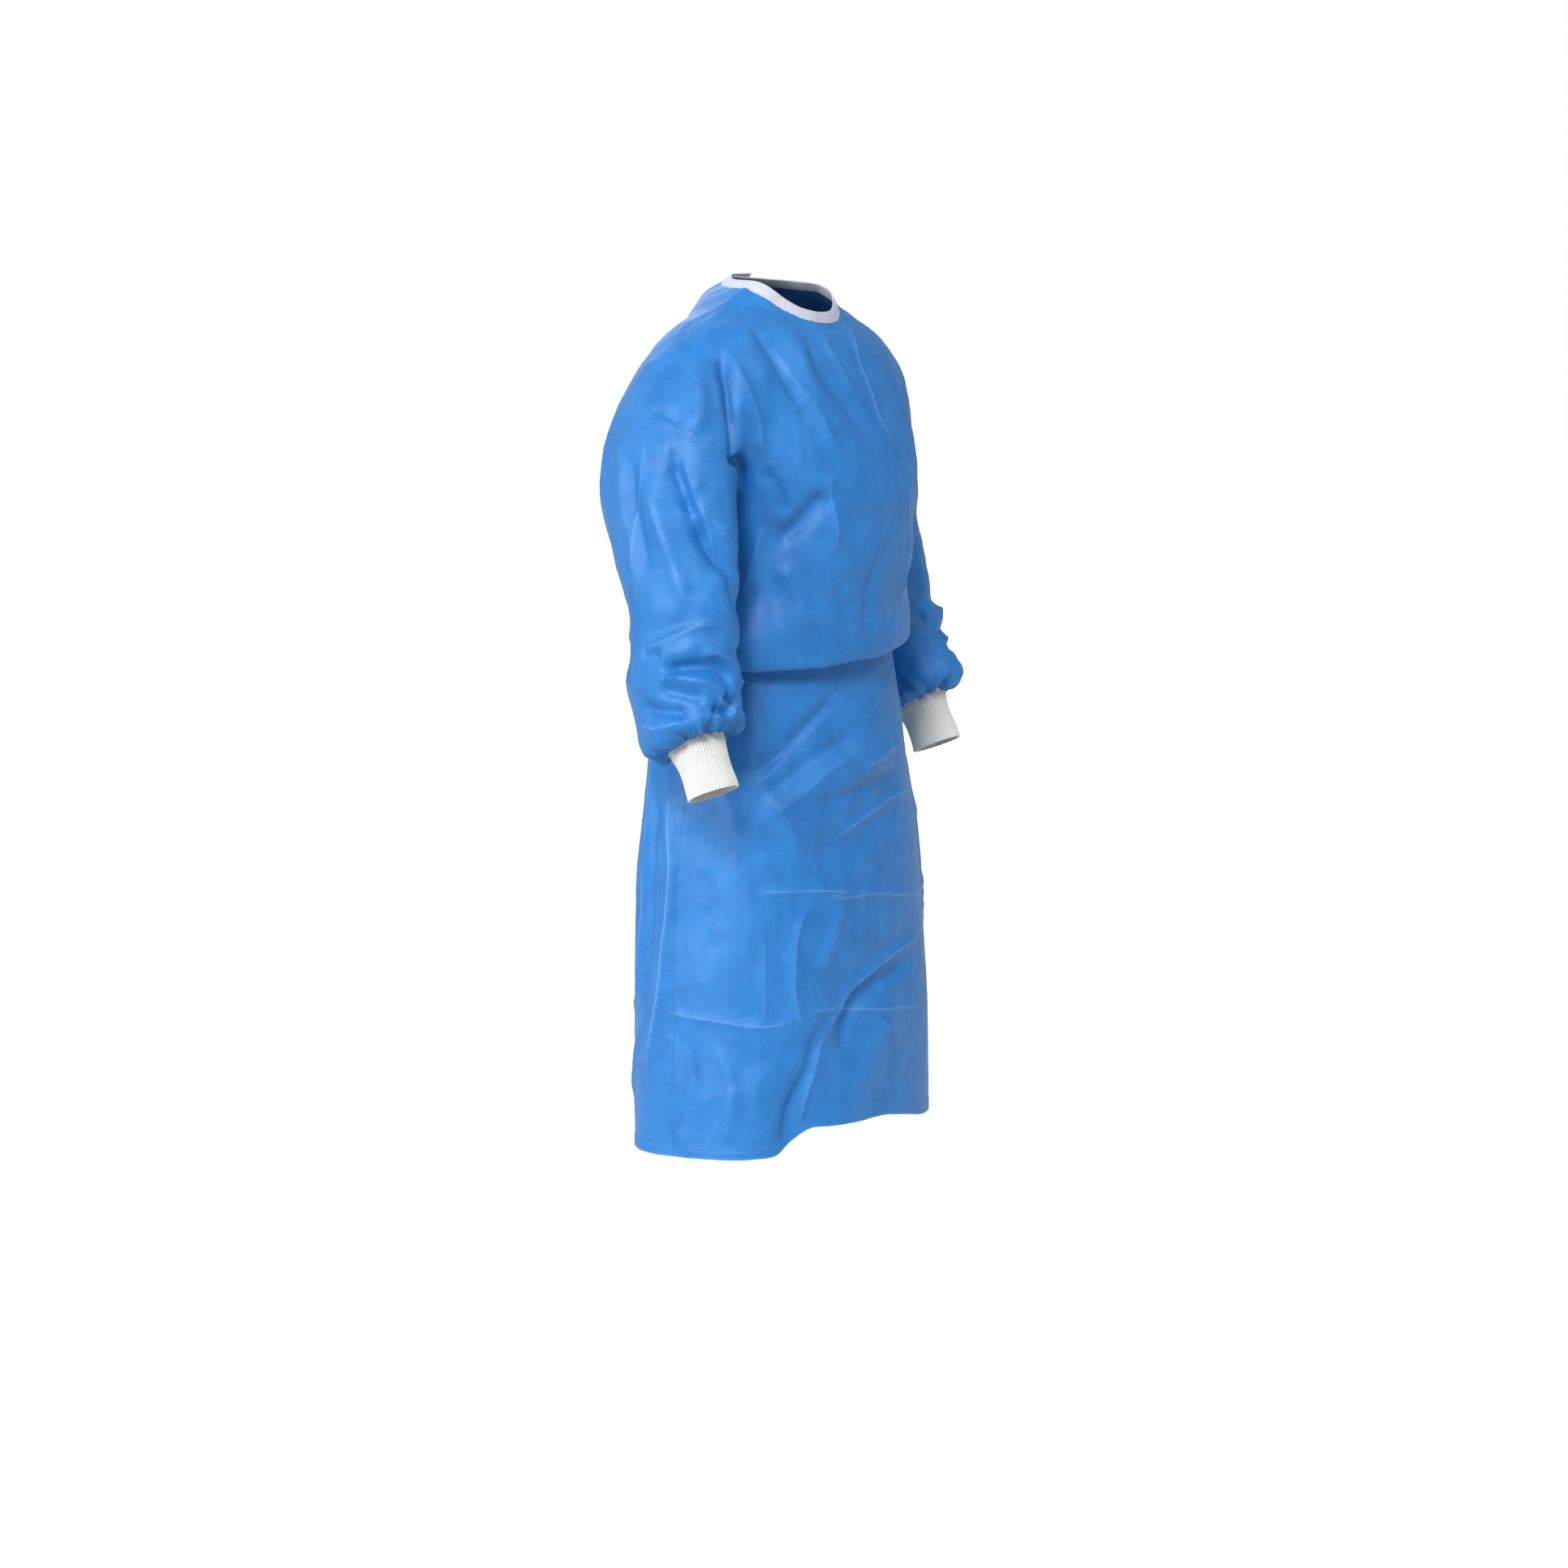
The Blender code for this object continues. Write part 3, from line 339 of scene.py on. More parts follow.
# %% [markdown]
# The waist is drawn in by the tie, and the bodice blouses down over it in front and at the
# right. The rows of TURNS are the cloth's way past the tie, from the skirt up: in to the
# tie, out and over it, and back up. At the left and behind, the same rows lie flat.

# %% Waist, neck, hem and seams
WaistPlace = namedtuple("WaistPlace", "angle z blouse")
WAIST = (
    WaistPlace(0, -0.406, 0.30), WaistPlace(45, -0.400, 0.75), WaistPlace(90, -0.405, 0.95),
    WaistPlace(150, -0.412, 1.00), WaistPlace(190, -0.412, 0.85), WaistPlace(240, -0.410, 0.35),
    WaistPlace(300, -0.408, 0.20), WaistPlace(330, -0.407, 0.04), WaistPlace(345, -0.407, 0.06),
    WaistPlace(360, -0.406, 0.30),
)
Turn = namedtuple("Turn", "dz stand plain")
TURNS = (
    Turn(-0.042, 0.0045, -0.042), Turn(-0.022, 0.0010, -0.022), Turn(-0.004, 0.0000, -0.008),
    Turn(+0.011, 0.0012, +0.003), Turn(+0.017, 0.0070, +0.011), Turn(+0.007, 0.0125, +0.018),
    Turn(-0.010, 0.0150, +0.025), Turn(-0.013, 0.0195, +0.032), Turn(+0.001, 0.0235, +0.040),
    Turn(+0.024, 0.0240, +0.052),
)
SKIRT_TOP = 0.072                  # below the tie's middle, where the turns begin
BODICE_START = 0.052               # above it, where they end
BODICE_TOP = -0.268
LAP = 0.0050                       # the outer back lies this far off the inner one
NECK_RADIUS = 0.0685
NECK_CENTRE_Y = -0.003
Level = namedtuple("Level", "angle z")
NECK = (
    Level(0, +0.012), Level(15, +0.003), Level(30, -0.007), Level(52, -0.0165), Level(90, -0.0240),
    Level(128, -0.0180), Level(150, -0.004), Level(165, +0.007), Level(180, +0.015),
    Level(210, +0.019), Level(270, +0.021), Level(330, +0.018), Level(360, +0.012),
)
HEM = (
    Level(0, -1.002), Level(30, -0.996), Level(52, -0.990), Level(70, -0.980), Level(90, -0.973),
    Level(128, -0.972), Level(145, -1.001), Level(170, -1.005), Level(200, -1.008),
    Level(232, -1.012), Level(270, -1.012), Level(310, -1.010), Level(360, -1.002),
)
Past = namedtuple("Past", "z degrees")
PAST = (Past(+0.03, 17), Past(-0.10, 22), Past(-0.25, 27), Past(-0.42, 30), Past(-1.05, 40))
Point = namedtuple("Point", "out y z")
ARMPIT = {"right": Point(0.161, -0.002, -0.2285), "left": Point(0.160, +0.022, -0.2260)}
SEAM_TOP = {"right": Point(0.264, -0.018, -0.124), "left": Point(0.262, +0.018, -0.124)}
ARMHOLE_FRONT = {
    "right": (Point(0.165, -0.048, -0.218), Point(0.202, -0.082, -0.180), Point(0.242, -0.062, -0.146)),
    "left": (Point(0.169, -0.030, -0.204), Point(0.200, -0.062, -0.174), Point(0.240, -0.042, -0.146)),
}
ARMHOLE_BACK = {
    "right": (Point(0.165, +0.050, -0.210), Point(0.204, +0.090, -0.176), Point(0.243, +0.062, -0.148)),
    "left": (Point(0.161, +0.064, -0.216), Point(0.204, +0.112, -0.178), Point(0.243, +0.086, -0.148)),
}
SHOULDER = (Point(0.238, +0.002, -0.082), Point(0.190, +0.008, -0.046), Point(0.130, +0.008, -0.008))
SHOULDER_COLUMNS, NECK_COLUMNS, LAP_COLUMNS = 8, 10, 3
ARMHOLE_ROWS, BODICE_ROWS, SIDE_ROWS, SKIRT_ROWS, SLEEVE_ROWS = 12, 4, 2, 11, 13
PIT_ROW = SKIRT_ROWS + len(TURNS) + BODICE_ROWS + SIDE_ROWS - 1
print("the armpits are on row", PIT_ROW, "of the body's pieces")

# %% The seams' lines
def on_side(rows, side):
    return [(r.out * SIDES[side], r.y, r.z) for r in rows]


def neck_edge(angles):
    turn = np.radians(angles)
    x, y = NECK_RADIUS * np.cos(turn), NECK_CENTRE_Y - NECK_RADIUS * np.sin(turn)
    return np.stack([x, y, by_angle(NECK, angles)], -1)


def armhole(side):
    """The seam's points from the armpit up the front to the top, and from there down the back."""
    pit, top = on_side([ARMPIT[side]], side), on_side([SEAM_TOP[side]], side)
    front = even_curve(pit + on_side(ARMHOLE_FRONT[side], side) + top, ARMHOLE_ROWS)
    behind = even_curve(pit + on_side(ARMHOLE_BACK[side], side) + top, ARMHOLE_ROWS)
    return settle(front), settle(behind)


def shoulder(side):
    """The shoulder seam's points, from the top of the armhole to the neck."""
    top = on_side([SEAM_TOP[side]], side)
    neck = [tuple(neck_edge(np.array(0.0 if side == "left" else 180.0)))]
    return settle(even_curve(top + on_side(SHOULDER, side) + neck, SHOULDER_COLUMNS))


def side_edge(pit):
    """The side seam's last stretch, from the body's side up to the armpit."""
    start = body_point(angle_of(pit), np.array(BODICE_TOP))
    share = np.linspace(0, 1, SIDE_ROWS + 1)[:, None]
    line = start * (1 - share) + pit * share
    line[1:-1] = settle(line[1:-1])
    return line


def past(z):
    """How far past the middle of the back each back goes, in degrees."""
    return smooth_between(z, column(PAST, "z"), column(PAST, "degrees"))


armholes = {side: armhole(side) for side in SIDES}
shoulders = {side: shoulder(side) for side in SIDES}
for side, (front, behind) in armholes.items():
    around = np.linalg.norm(np.diff(np.concatenate([front, behind[::-1]]), axis=0), axis=1).sum()
    print(side, "armhole is", round(float(around), 3), "m round")

# %% The body's pieces as coarse grids
def patch(bottom, top, first, last, bulge, rounds=80):
    """A grid between four edges, eased over the skin until its faces are even."""
    v = np.linspace(0, 1, len(first))[:, None, None]
    u = np.linspace(0, 1, len(bottom))[None, :, None]
    grid = (1 - v) * bottom[None] + v * top[None] + (1 - u) * first[:, None] + u * last[:, None]
    grid -= (1 - u) * ((1 - v) * bottom[0] + v * top[0]) + u * ((1 - v) * bottom[-1] + v * top[-1])
    grid = grid + np.asarray(bulge) * np.sin(np.pi * v) * np.sin(np.pi * u)
    grid[1:-1, 1:-1] = settle(grid[1:-1, 1:-1], times=10)
    for _ in range(rounds):
        near = grid[:-2, 1:-1] + grid[2:, 1:-1] + grid[1:-1, :-2] + grid[1:-1, 2:]
        grid[1:-1, 1:-1] = settle(near / 4, times=1)
    return settle(grid, times=3)


def lower_rows(angles):
    """The body's cloth from the hem up to the armpits, at each column's angle by height."""
    level = angles(-1.0)
    waist_z, hem_z = by_angle(WAIST, level), by_angle(HEM, level)
    rows = []
    for s in np.linspace(0, 1, SKIRT_ROWS + 1)[:-1]:
        z = hem_z + (waist_z - SKIRT_TOP - hem_z) * s
        rows.append(body_point(angles(z), z))
    level = angles(-0.41)
    waist_z = by_angle(WAIST, level)
    blouse = by_angle(WAIST, level, "blouse")[..., None]
    tight = body_radius(level, waist_z)
    for turn in TURNS:
        full = placed(level, tight + turn.stand, waist_z + turn.dz)
        free = body_point(angles(waist_z + turn.plain), waist_z + turn.plain)
        rows.append(free * (1 - blouse) + full * blouse)
    for s in np.linspace(0, 1, BODICE_ROWS + 1)[1:]:
        z = waist_z + BODICE_START + (BODICE_TOP - waist_z - BODICE_START) * s
        rows.append(body_point(angles(z), z))
    return np.array(rows)


pit_angle = {side: float(angle_of(armholes[side][0][0])) for side in SIDES}
pit_angle["left"] -= 360 if pit_angle["left"] > 180 else 0


def front_grid():
    """Rows from the hem up, columns from the wearer's left to the right."""
    share = np.linspace(0, 1, 2 * SHOULDER_COLUMNS + NECK_COLUMNS + 1)
    neck = settle(neck_edge(np.linspace(0, 180, NECK_COLUMNS + 1)))
    top = np.concatenate([shoulders["left"], neck[1:-1], shoulders["right"][::-1]])
    first, last = (
        np.concatenate([side_edge(armholes[side][0][0])[:-1], armholes[side][0]])
        for side in ("left", "right")
    )

    def angles(z):
        return pit_angle["left"] + (pit_angle["right"] - pit_angle["left"]) * share + 0 * z

    lower = lower_rows(angles)
    lower[-1, 0], lower[-1, -1] = first[0], last[0]
    return np.concatenate([lower[:-1], patch(lower[-1], top, first, last, (0, -0.03, 0))])


def back_grid(side):
    """Columns from the side seam to the free edge, past the middle of the back."""
    half = NECK_COLUMNS // 2 + LAP_COLUMNS
    share = np.linspace(0, 1, SHOULDER_COLUMNS + half + 1)
    sign, begin = (1, 180.0) if side == "right" else (-1, 360.0)
    neck = neck_edge(begin + sign * np.linspace(0, 90 + past(0.03), half + 1))
    top = np.concatenate([shoulders[side], settle(neck)[1:]])
    free_z = np.linspace(BODICE_TOP, top[-1][2], SIDE_ROWS + ARMHOLE_ROWS + 1)
    free = body_point(270 + sign * past(free_z), free_z)
    free[-1] = top[-1]
    pit = armholes[side][1][0]
    first = np.concatenate([side_edge(pit)[:-1], armholes[side][1]])
    last = settle(free)
    start = pit_angle[side] if side == "right" else pit_angle[side] + 360

    def angles(z):
        return start + (270 + sign * past(z) - start) * share

    lower = lower_rows(angles)
    lower[-1, 0], lower[-1, -1] = first[0], last[0]
    return np.concatenate([lower[:-1], patch(lower[-1], top, first, last, (0, 0.03, 0))])


grids = {"front": front_grid(), "back_right": back_grid("right"), "back_left": back_grid("left")}
print("coarse grids:", {name: grid.shape[:2] for name, grid in grids.items()})

# %% [markdown]
# A sleeve is a tube on its arm. Its first ring is the armhole's seam, which is tilted, and
# its rings swing round to stand square to the arm before the elbow. At the wrist the cloth
# rolls over and is gathered in to the knitted cuff.

# %% The sleeves and cuffs as coarse grids
Gather = namedtuple("Gather", "back share")
GATHERS = (
    Gather(0.026, 1.00), Gather(0.015, 1.03), Gather(0.006, 0.99),
    Gather(0.001, 0.87), Gather(-0.001, 0.72), Gather(-0.001, 0.58),
)
CUFF_LENGTH = 0.062
CUFF_SHARES = ((0.0, 0.575), (0.3, 0.535), (0.65, 0.52), (1.0, 0.515))


def sleeve_grid(side):
    """Rows from the armhole down, columns from the armpit round by the front."""
    arm = arms[side]
    front, behind = armholes[side]
    ring = np.concatenate([front, behind[::-1][1:-1]])
    count = len(ring)
    along, out, fore = arm_place(ring, arm)
    turn = np.degrees(np.arctan2(fore, -out)) % 360
    turn[0] = turn[0] if turn[0] < 180 else turn[0] - 360
    target = np.arange(count) * 360.0 / count
    turn = target + (turn - target + 180) % 360 - 180
    loose = ring - arm_point(arm, along, turn)
    end = SLEEVE_END[side]
    rows = [ring]
    for s in np.linspace(0, 1, SLEEVE_ROWS + 1)[1:] ** 1.25:
        at = along + (end - GATHERS[0].back - along) * s
        angle = turn + (target - turn) * ease(s, 0, 0.7)
        rows.append(arm_point(arm, at, angle) + loose * (1 - s) ** 5)
    for row in GATHERS[1:]:
        share = np.full(count, row.share)
        rows.append(arm_point(arm, np.full(count, end - row.back), target, share))
    return np.array(rows)


def cuff_grid(side):
    count = 2 * ARMHOLE_ROWS
    turn = np.arange(count) * 360.0 / count
    rows = []
    for s, share in CUFF_SHARES:
        along = np.full(count, SLEEVE_END[side] + 0.001 + CUFF_LENGTH * s)
        rows.append(arm_point(arms[side], along, turn, np.full(count, share)))
    return np.array(rows)


for side in SIDES:
    grids["sleeve_" + side] = sleeve_grid(side)
flips = {"front": True, "back_right": True, "back_left": False, "sleeve_right": False, "sleeve_left": True}
print("a sleeve's grid:", grids["sleeve_left"].shape[:2])

# %% Outward directions, shared across the seams
def grid_faces(rows, columns, loop):
    r, c = np.meshgrid(np.arange(rows - 1), np.arange(columns if loop else columns - 1), indexing="ij")
    d = (c + 1) % columns
    faces = np.stack([r * columns + c, r * columns + d, (r + 1) * columns + d, (r + 1) * columns + c], -1)
    return faces.reshape(-1, 4)


def shared_normals(grids):
    """Each point's outward direction, from all the faces of all the pieces that meet there."""
    points, faces, spans, start = [], [], {}, 0
    for name, grid in grids.items():
        skin = grid_faces(*grid.shape[:2], name.startswith("sleeve")) + start
        faces.append(skin[:, ::-1] if flips[name] else skin)
        points.append(grid.reshape(-1, 3))
        spans[name] = slice(start, start + len(points[-1]))
        start += len(points[-1])
    points, faces = np.concatenate(points), np.concatenate(faces)
    _, place = np.unique(np.round(points * 1e5).astype(np.int64), axis=0, return_inverse=True)
    place = place.ravel()
    total = np.zeros((place.max() + 1, 3))
    for k in range(4):
        here = points[faces[:, k]]
        one, two = points[faces[:, (k + 1) % 4]] - here, points[faces[:, (k + 3) % 4]] - here
        across = np.cross(one, two)
        size = np.linalg.norm(across, axis=1)
        width = np.arctan2(size, (one * two).sum(1))
        np.add.at(total, place[faces[:, k]], across * (width / np.maximum(size, 1e-12))[:, None])
    normals = unit(total[place])
    return {name: normals[spans[name]].reshape(grid.shape) for name, grid in grids.items()}


outward = shared_normals(grids)
print("the front's middle faces", np.round(outward["front"][20, 13], 2))

# %% [markdown]
# The coarse grids have the gown's form but no room for a crease. Smooth curves through
# their rows and columns give fine grids with a point every few millimetres, and closer
# points near the hems, where the cloth is turned and sewn. The pieces meet on seams, so
# the fine points on a seam are worked out once from the seam's own line, and each piece
# that ends there is drawn to them.

# %% Fine grids
ROW_STEP = 0.0038
COLUMN_STEP = 0.0034
HEM_STEP = 0.0014                  # between points on a turned hem
HEM_REACH = 0.017


def run_of(points):
    """The mean distance along a grid's rows, from row to row."""
    steps = np.linalg.norm(np.diff(points, axis=0), axis=-1)
    if steps.ndim > 1:
        steps = steps.mean(axis=tuple(range(1, steps.ndim)))
    return np.concatenate([[0], np.cumsum(steps)])


def stops(length, step, fine_start=False, fine_end=False):
    """Places along a length, closer together where a hem is."""
    even = np.linspace(0, length, int(round(length / step)) + 1)
    close = np.arange(0, HEM_REACH, HEM_STEP)
    if fine_start:
        even = np.concatenate([close, even[even > HEM_REACH]])
    if fine_end:
        even = np.concatenate([even[even < length - HEM_REACH], (length - close)[::-1]])
    return even


def through(values, knots, at):
    """A smooth curve through the knots, taken at other places. Works down the first axis."""
    shape = (-1,) + (1,) * (values.ndim - 1)
    steps = np.diff(knots)
    slopes = np.diff(values, axis=0) / steps.reshape(shape)
    before, after = steps[:-1].reshape(shape), steps[1:].reshape(shape)
    middle = (slopes[:-1] * after + slopes[1:] * before) / (before + after)
    rise = np.concatenate([slopes[:1], middle, slopes[-1:]])
    i = np.clip(np.searchsorted(knots, at, side="right") - 1, 0, len(knots) - 2)
    h = steps[i].reshape(shape)
    t = ((at - knots[i]) / steps[i]).reshape(shape)
    return (
        values[i] * (1 + 2 * t) * (1 - t) ** 2 + h * rise[i] * t * (1 - t) ** 2
        + values[i + 1] * t * t * (3 - 2 * t) + h * rise[i + 1] * t * t * (t - 1)
    )


def seam_curve(points, index):
    """A seam's own curve, taken at fractions of its coarse points."""
    run = run_of(points[:, :3])
    return through(points, run, np.interp(index, np.arange(len(points)), run))


def draw_to(grid, edge, distance, reach=0.014):
    """Moves a grid's first row to a seam's curve, and the rows behind it by less and less."""
    move = edge - grid[0]
    grid += np.exp(-((distance / reach) ** 2)).reshape(-1, 1, 1) * move[None]


Fine = namedtuple("Fine", "points out row column from_start from_end from_left from_right")


def with_distances(data, row, column):
    """The fine grid with each point's distance to its four borders, along the cloth."""
    points = data[..., :3]
    down = np.concatenate([np.zeros((1, len(column))), np.cumsum(
        np.linalg.norm(np.diff(points, axis=0), axis=-1), axis=0)])
    across = np.concatenate([np.zeros((len(row), 1)), np.cumsum(
        np.linalg.norm(np.diff(points, axis=1), axis=-1), axis=1)], axis=1)
    out = unit(data[..., 3:])
    return Fine(points, out, row, column, down, down[-1] - down, across, across[:, -1:] - across)


# The rows of the body's three pieces are stopped at the same places, so that they meet.
body_run = run_of(grids["front"])
body_stops = stops(body_run[-1], ROW_STEP, fine_start=True)
body_rows = np.interp(body_stops, body_run, np.arange(len(body_run)))


def fine_body(name):
    data = np.concatenate([grids[name], outward[name]], -1)
    run = run_of(grids[name].transpose(1, 0, 2))
    at = stops(run[-1], COLUMN_STEP, fine_end=name != "front")
    columns = np.interp(at, run, np.arange(len(run)))
    fine = through(data, body_run, body_stops)
    fine = through(fine.transpose(1, 0, 2), run, at).transpose(1, 0, 2)
    low, high = body_rows <= PIT_ROW, body_rows > PIT_ROW
    for k in ([0, -1] if name == "front" else [0]):
        line = data[:, k]
        edge = np.concatenate([
            seam_curve(line[:PIT_ROW + 1], body_rows[low]),
            seam_curve(line[PIT_ROW:], body_rows[high] - PIT_ROW),
        ])
        side = fine.transpose(1, 0, 2)[:: 1 if k == 0 else -1]
        draw_to(side, edge, at if k == 0 else run[-1] - at[::-1])
    for from_left in ([True, False] if name == "front" else [True]):
        top = data[-1] if from_left else data[-1, ::-1]
        index = columns if from_left else (len(run) - 1) - columns[::-1]
        part = index <= SHOULDER_COLUMNS
        edge = seam_curve(top[:SHOULDER_COLUMNS + 1], index[part])
        side = fine[::-1] if from_left else fine[::-1, ::-1]
        draw_to(side[:, part], edge, body_run[-1] - body_stops[::-1])
    return with_distances(fine, body_rows, columns)


def fine_sleeve(side):
    name = "sleeve_" + side
    data = np.concatenate([grids[name], outward[name]], -1)
    count = data.shape[1]
    run = run_of(grids[name])
    at = stops(run[-1], ROW_STEP)
    rows = np.interp(at, run, np.arange(len(run)))
    fine = through(data, run, at)
    around = np.concatenate([fine[:, -2:], fine, fine[:, :3]], 1).transpose(1, 0, 2)
    columns = np.linspace(0, count, int(round(0.50 / COLUMN_STEP / 4)) * 4 + 1)[:-1]
    fine = through(around, np.arange(-2.0, count + 3), columns).transpose(1, 0, 2)
    ring = np.concatenate([data[0], data[:1, 0]])
    near, far = columns <= ARMHOLE_ROWS, columns > ARMHOLE_ROWS
    edge = np.concatenate([
        seam_curve(ring[:ARMHOLE_ROWS + 1], columns[near]),
        seam_curve(ring[ARMHOLE_ROWS:][::-1], count - columns[far]),
    ])
    draw_to(fine, edge, at)
    return with_distances(fine, rows, columns)


fines = {name: fine_body(name) for name in ("front", "back_right", "back_left")}
for side in SIDES:
    fines["sleeve_" + side] = fine_sleeve(side)
for name, fine in fines.items():
    print(name, "has", fine.points.shape[0], "by", fine.points.shape[1], "points")

# %% [markdown]
# Folds and creases are the gown's character. Nonwoven cloth keeps two kinds. Soft folds
# hang from where the cloth is held: the neck, the armpits, the tie, the cuffs. Sharp
# creases are left from the way it was folded in its pack. Along them the colour is painted
# paler, partly as wear and partly as a painted highlight. Each row below is one of them: the
# line that it follows on the skin, how wide and how deep it is, and how pale. The large
# folds are the same as in the CAD.

# %% The large folds
Fold = namedtuple("Fold", "part width depth places")
FOLDS = (
    # Down from the neck across the chest.
    Fold("body", 0.018, -0.0050, ((154, -0.020), (142, -0.072), (131, -0.120), (123, -0.165))),
    Fold("body", 0.018, +0.0035, ((138, -0.025), (128, -0.085), (113, -0.140))),
    Fold("body", 0.018, -0.0045, ((127, -0.020), (117, -0.084), (97, -0.139), (90, -0.165))),
    Fold("body", 0.022, -0.0050, ((123, -0.205), (132, -0.245), (141, -0.275), (150, -0.300))),
    Fold("body", 0.020, +0.0040, ((60, -0.250), (62, -0.310), (70, -0.360))),
    # Down and across the skirt from the waist.
    Fold("body", 0.026, -0.0055, ((100, -0.460), (114, -0.485), (136, -0.515), (158, -0.545))),
    Fold("body", 0.028, +0.0050, ((60, -0.520), (90, -0.545), (120, -0.575), (150, -0.625))),
    Fold("body", 0.028, -0.0050, ((40, -0.585), (80, -0.600), (118, -0.640), (140, -0.690))),
    Fold("body", 0.032, -0.0060, ((38, -0.765), (75, -0.785), (108, -0.820), (121, -0.870), (124, -0.950))),
    Fold("body", 0.030, +0.0050, ((60, -0.840), (90, -0.870), (104, -0.930), (108, -1.040))),
    Fold("body", 0.026, -0.0090, ((134, -0.890), (135, -0.960), (137, -1.080))),
    Fold("body", 0.030, +0.0060, ((150, -0.880), (153, -0.960), (156, -1.080))),
    Fold("body", 0.018, +0.0050, (
        (192, -0.520), (185, -0.600), (182, -0.680), (184, -0.780), (192, -0.930))),
    Fold("body", 0.026, -0.0045, ((172, -0.560), (170, -0.680), (170, -0.800))),
    # The flutes of the left side and of the back.
    Fold("body", 0.030, +0.0060, ((22, -0.500), (20, -0.700), (22, -0.900), (20, -1.080))),
    Fold("body", 0.030, -0.0060, ((2, -0.520), (0, -0.750), (4, -1.080))),
    Fold("body", 0.030, +0.0060, ((340, -0.600), (336, -0.800), (340, -1.080))),
    Fold("body", 0.034, -0.0060, ((316, -0.540), (318, -0.760), (314, -1.080))),
    Fold("body", 0.030, +0.0055, ((216, -0.560), (220, -0.760), (216, -1.080))),
    Fold("body", 0.034, -0.0060, ((236, -0.620), (238, -0.820), (234, -1.080))),
    Fold("body", 0.024, -0.0050, ((215, -0.140), (228, -0.200), (240, -0.270))),
    Fold("body", 0.024, -0.0050, ((325, -0.140), (314, -0.200), (300, -0.260))),
    # The sleeves hang in folds above the elbow and are heaped over the wrist.
    Fold("right", 0.016, -0.0055, ((146, 0.180), (138, 0.240), (122, 0.300), (104, 0.345))),
    Fold("right", 0.016, +0.0045, ((168, 0.200), (160, 0.270), (150, 0.340))),
    Fold("right", 0.015, -0.0055, ((196, 0.410), (170, 0.404), (135, 0.396), (96, 0.402))),
    Fold("right", 0.015, +0.0050, ((190, 0.432), (160, 0.424), (125, 0.420), (84, 0.430))),
    Fold("right", 0.014, -0.0055, ((176, 0.450), (150, 0.445), (118, 0.446), (86, 0.468))),
    Fold("right", 0.016, -0.0050, ((262, 0.300), (250, 0.360), (230, 0.400))),
    Fold("right", 0.016, -0.0050, ((30, 0.340), (60, 0.370), (96, 0.375))),
    Fold("left", 0.016, -0.0055, ((140, 0.190), (130, 0.250), (112, 0.310))),
    Fold("left", 0.015, -0.0055, ((190, 0.395), (160, 0.400), (120, 0.412), (80, 0.410))),
    Fold("left", 0.015, +0.0050, ((200, 0.420), (165, 0.422), (125, 0.432), (80, 0.436))),
    Fold("left", 0.014, -0.0055, ((180, 0.445), (150, 0.450), (110, 0.458), (70, 0.456))),
    Fold("left", 0.016, -0.0050, ((262, 0.290), (250, 0.350), (235, 0.400))),
    Fold("left", 0.016, -0.0050, ((30, 0.330), (60, 0.355), (96, 0.365))),
)
print("large folds:", len(FOLDS))

# %% Folding the skin along a line
def line_on(part, places):
    if part == "body":
        return np.array([body_point(np.array(float(a)), np.array(z)) for a, z in places])
    return np.array([arm_point(arms[part], np.array(s), np.array(float(a))) for a, s in places])


def nearest(points, line, out):
    """How far points are from a line of straight stretches, where along it, and on which side."""
    best = np.full(points.shape[:-1], 1e9)
    where, side = np.zeros(points.shape[:-1]), np.ones(points.shape[:-1])
    runs = np.linalg.norm(np.diff(line, axis=0), axis=1)
    start = 0.0
    for a, b, run in zip(line, line[1:], runs):
        t = np.clip(((points - a) * (b - a)).sum(-1) / run ** 2, 0, 1)
        gap = np.linalg.norm(points - a - t[..., None] * (b - a), axis=-1)
        turn = (np.cross(b - a, points - a) * out).sum(-1)
        where = np.where(gap < best, (start + t * run) / runs.sum(), where)
        side = np.where(gap < best, np.where(turn < 0, -1.0, 1.0), side)
        best = np.minimum(gap, best)
        start += run
    return best, where, side


def fold_depth(points, out, part):
    """How far the large folds move points of one part of the skin out or in."""
    depth = np.zeros(points.shape[:-1])
    for fold in FOLDS:
        if fold.part == part:
            gap, where, _ = nearest(points, line_on(part, fold.places), out)
            taper = ease(where, 0, 0.3) * ease(1 - where, 0, 0.3)
            depth += fold.depth * taper * np.exp(-((gap / fold.width) ** 2))
    return depth


deepest = min(fold_depth(fines["front"].points, fines["front"].out, "body").ravel())
print("the deepest fold of the front is", round(-deepest * 1000, 1), "mm")

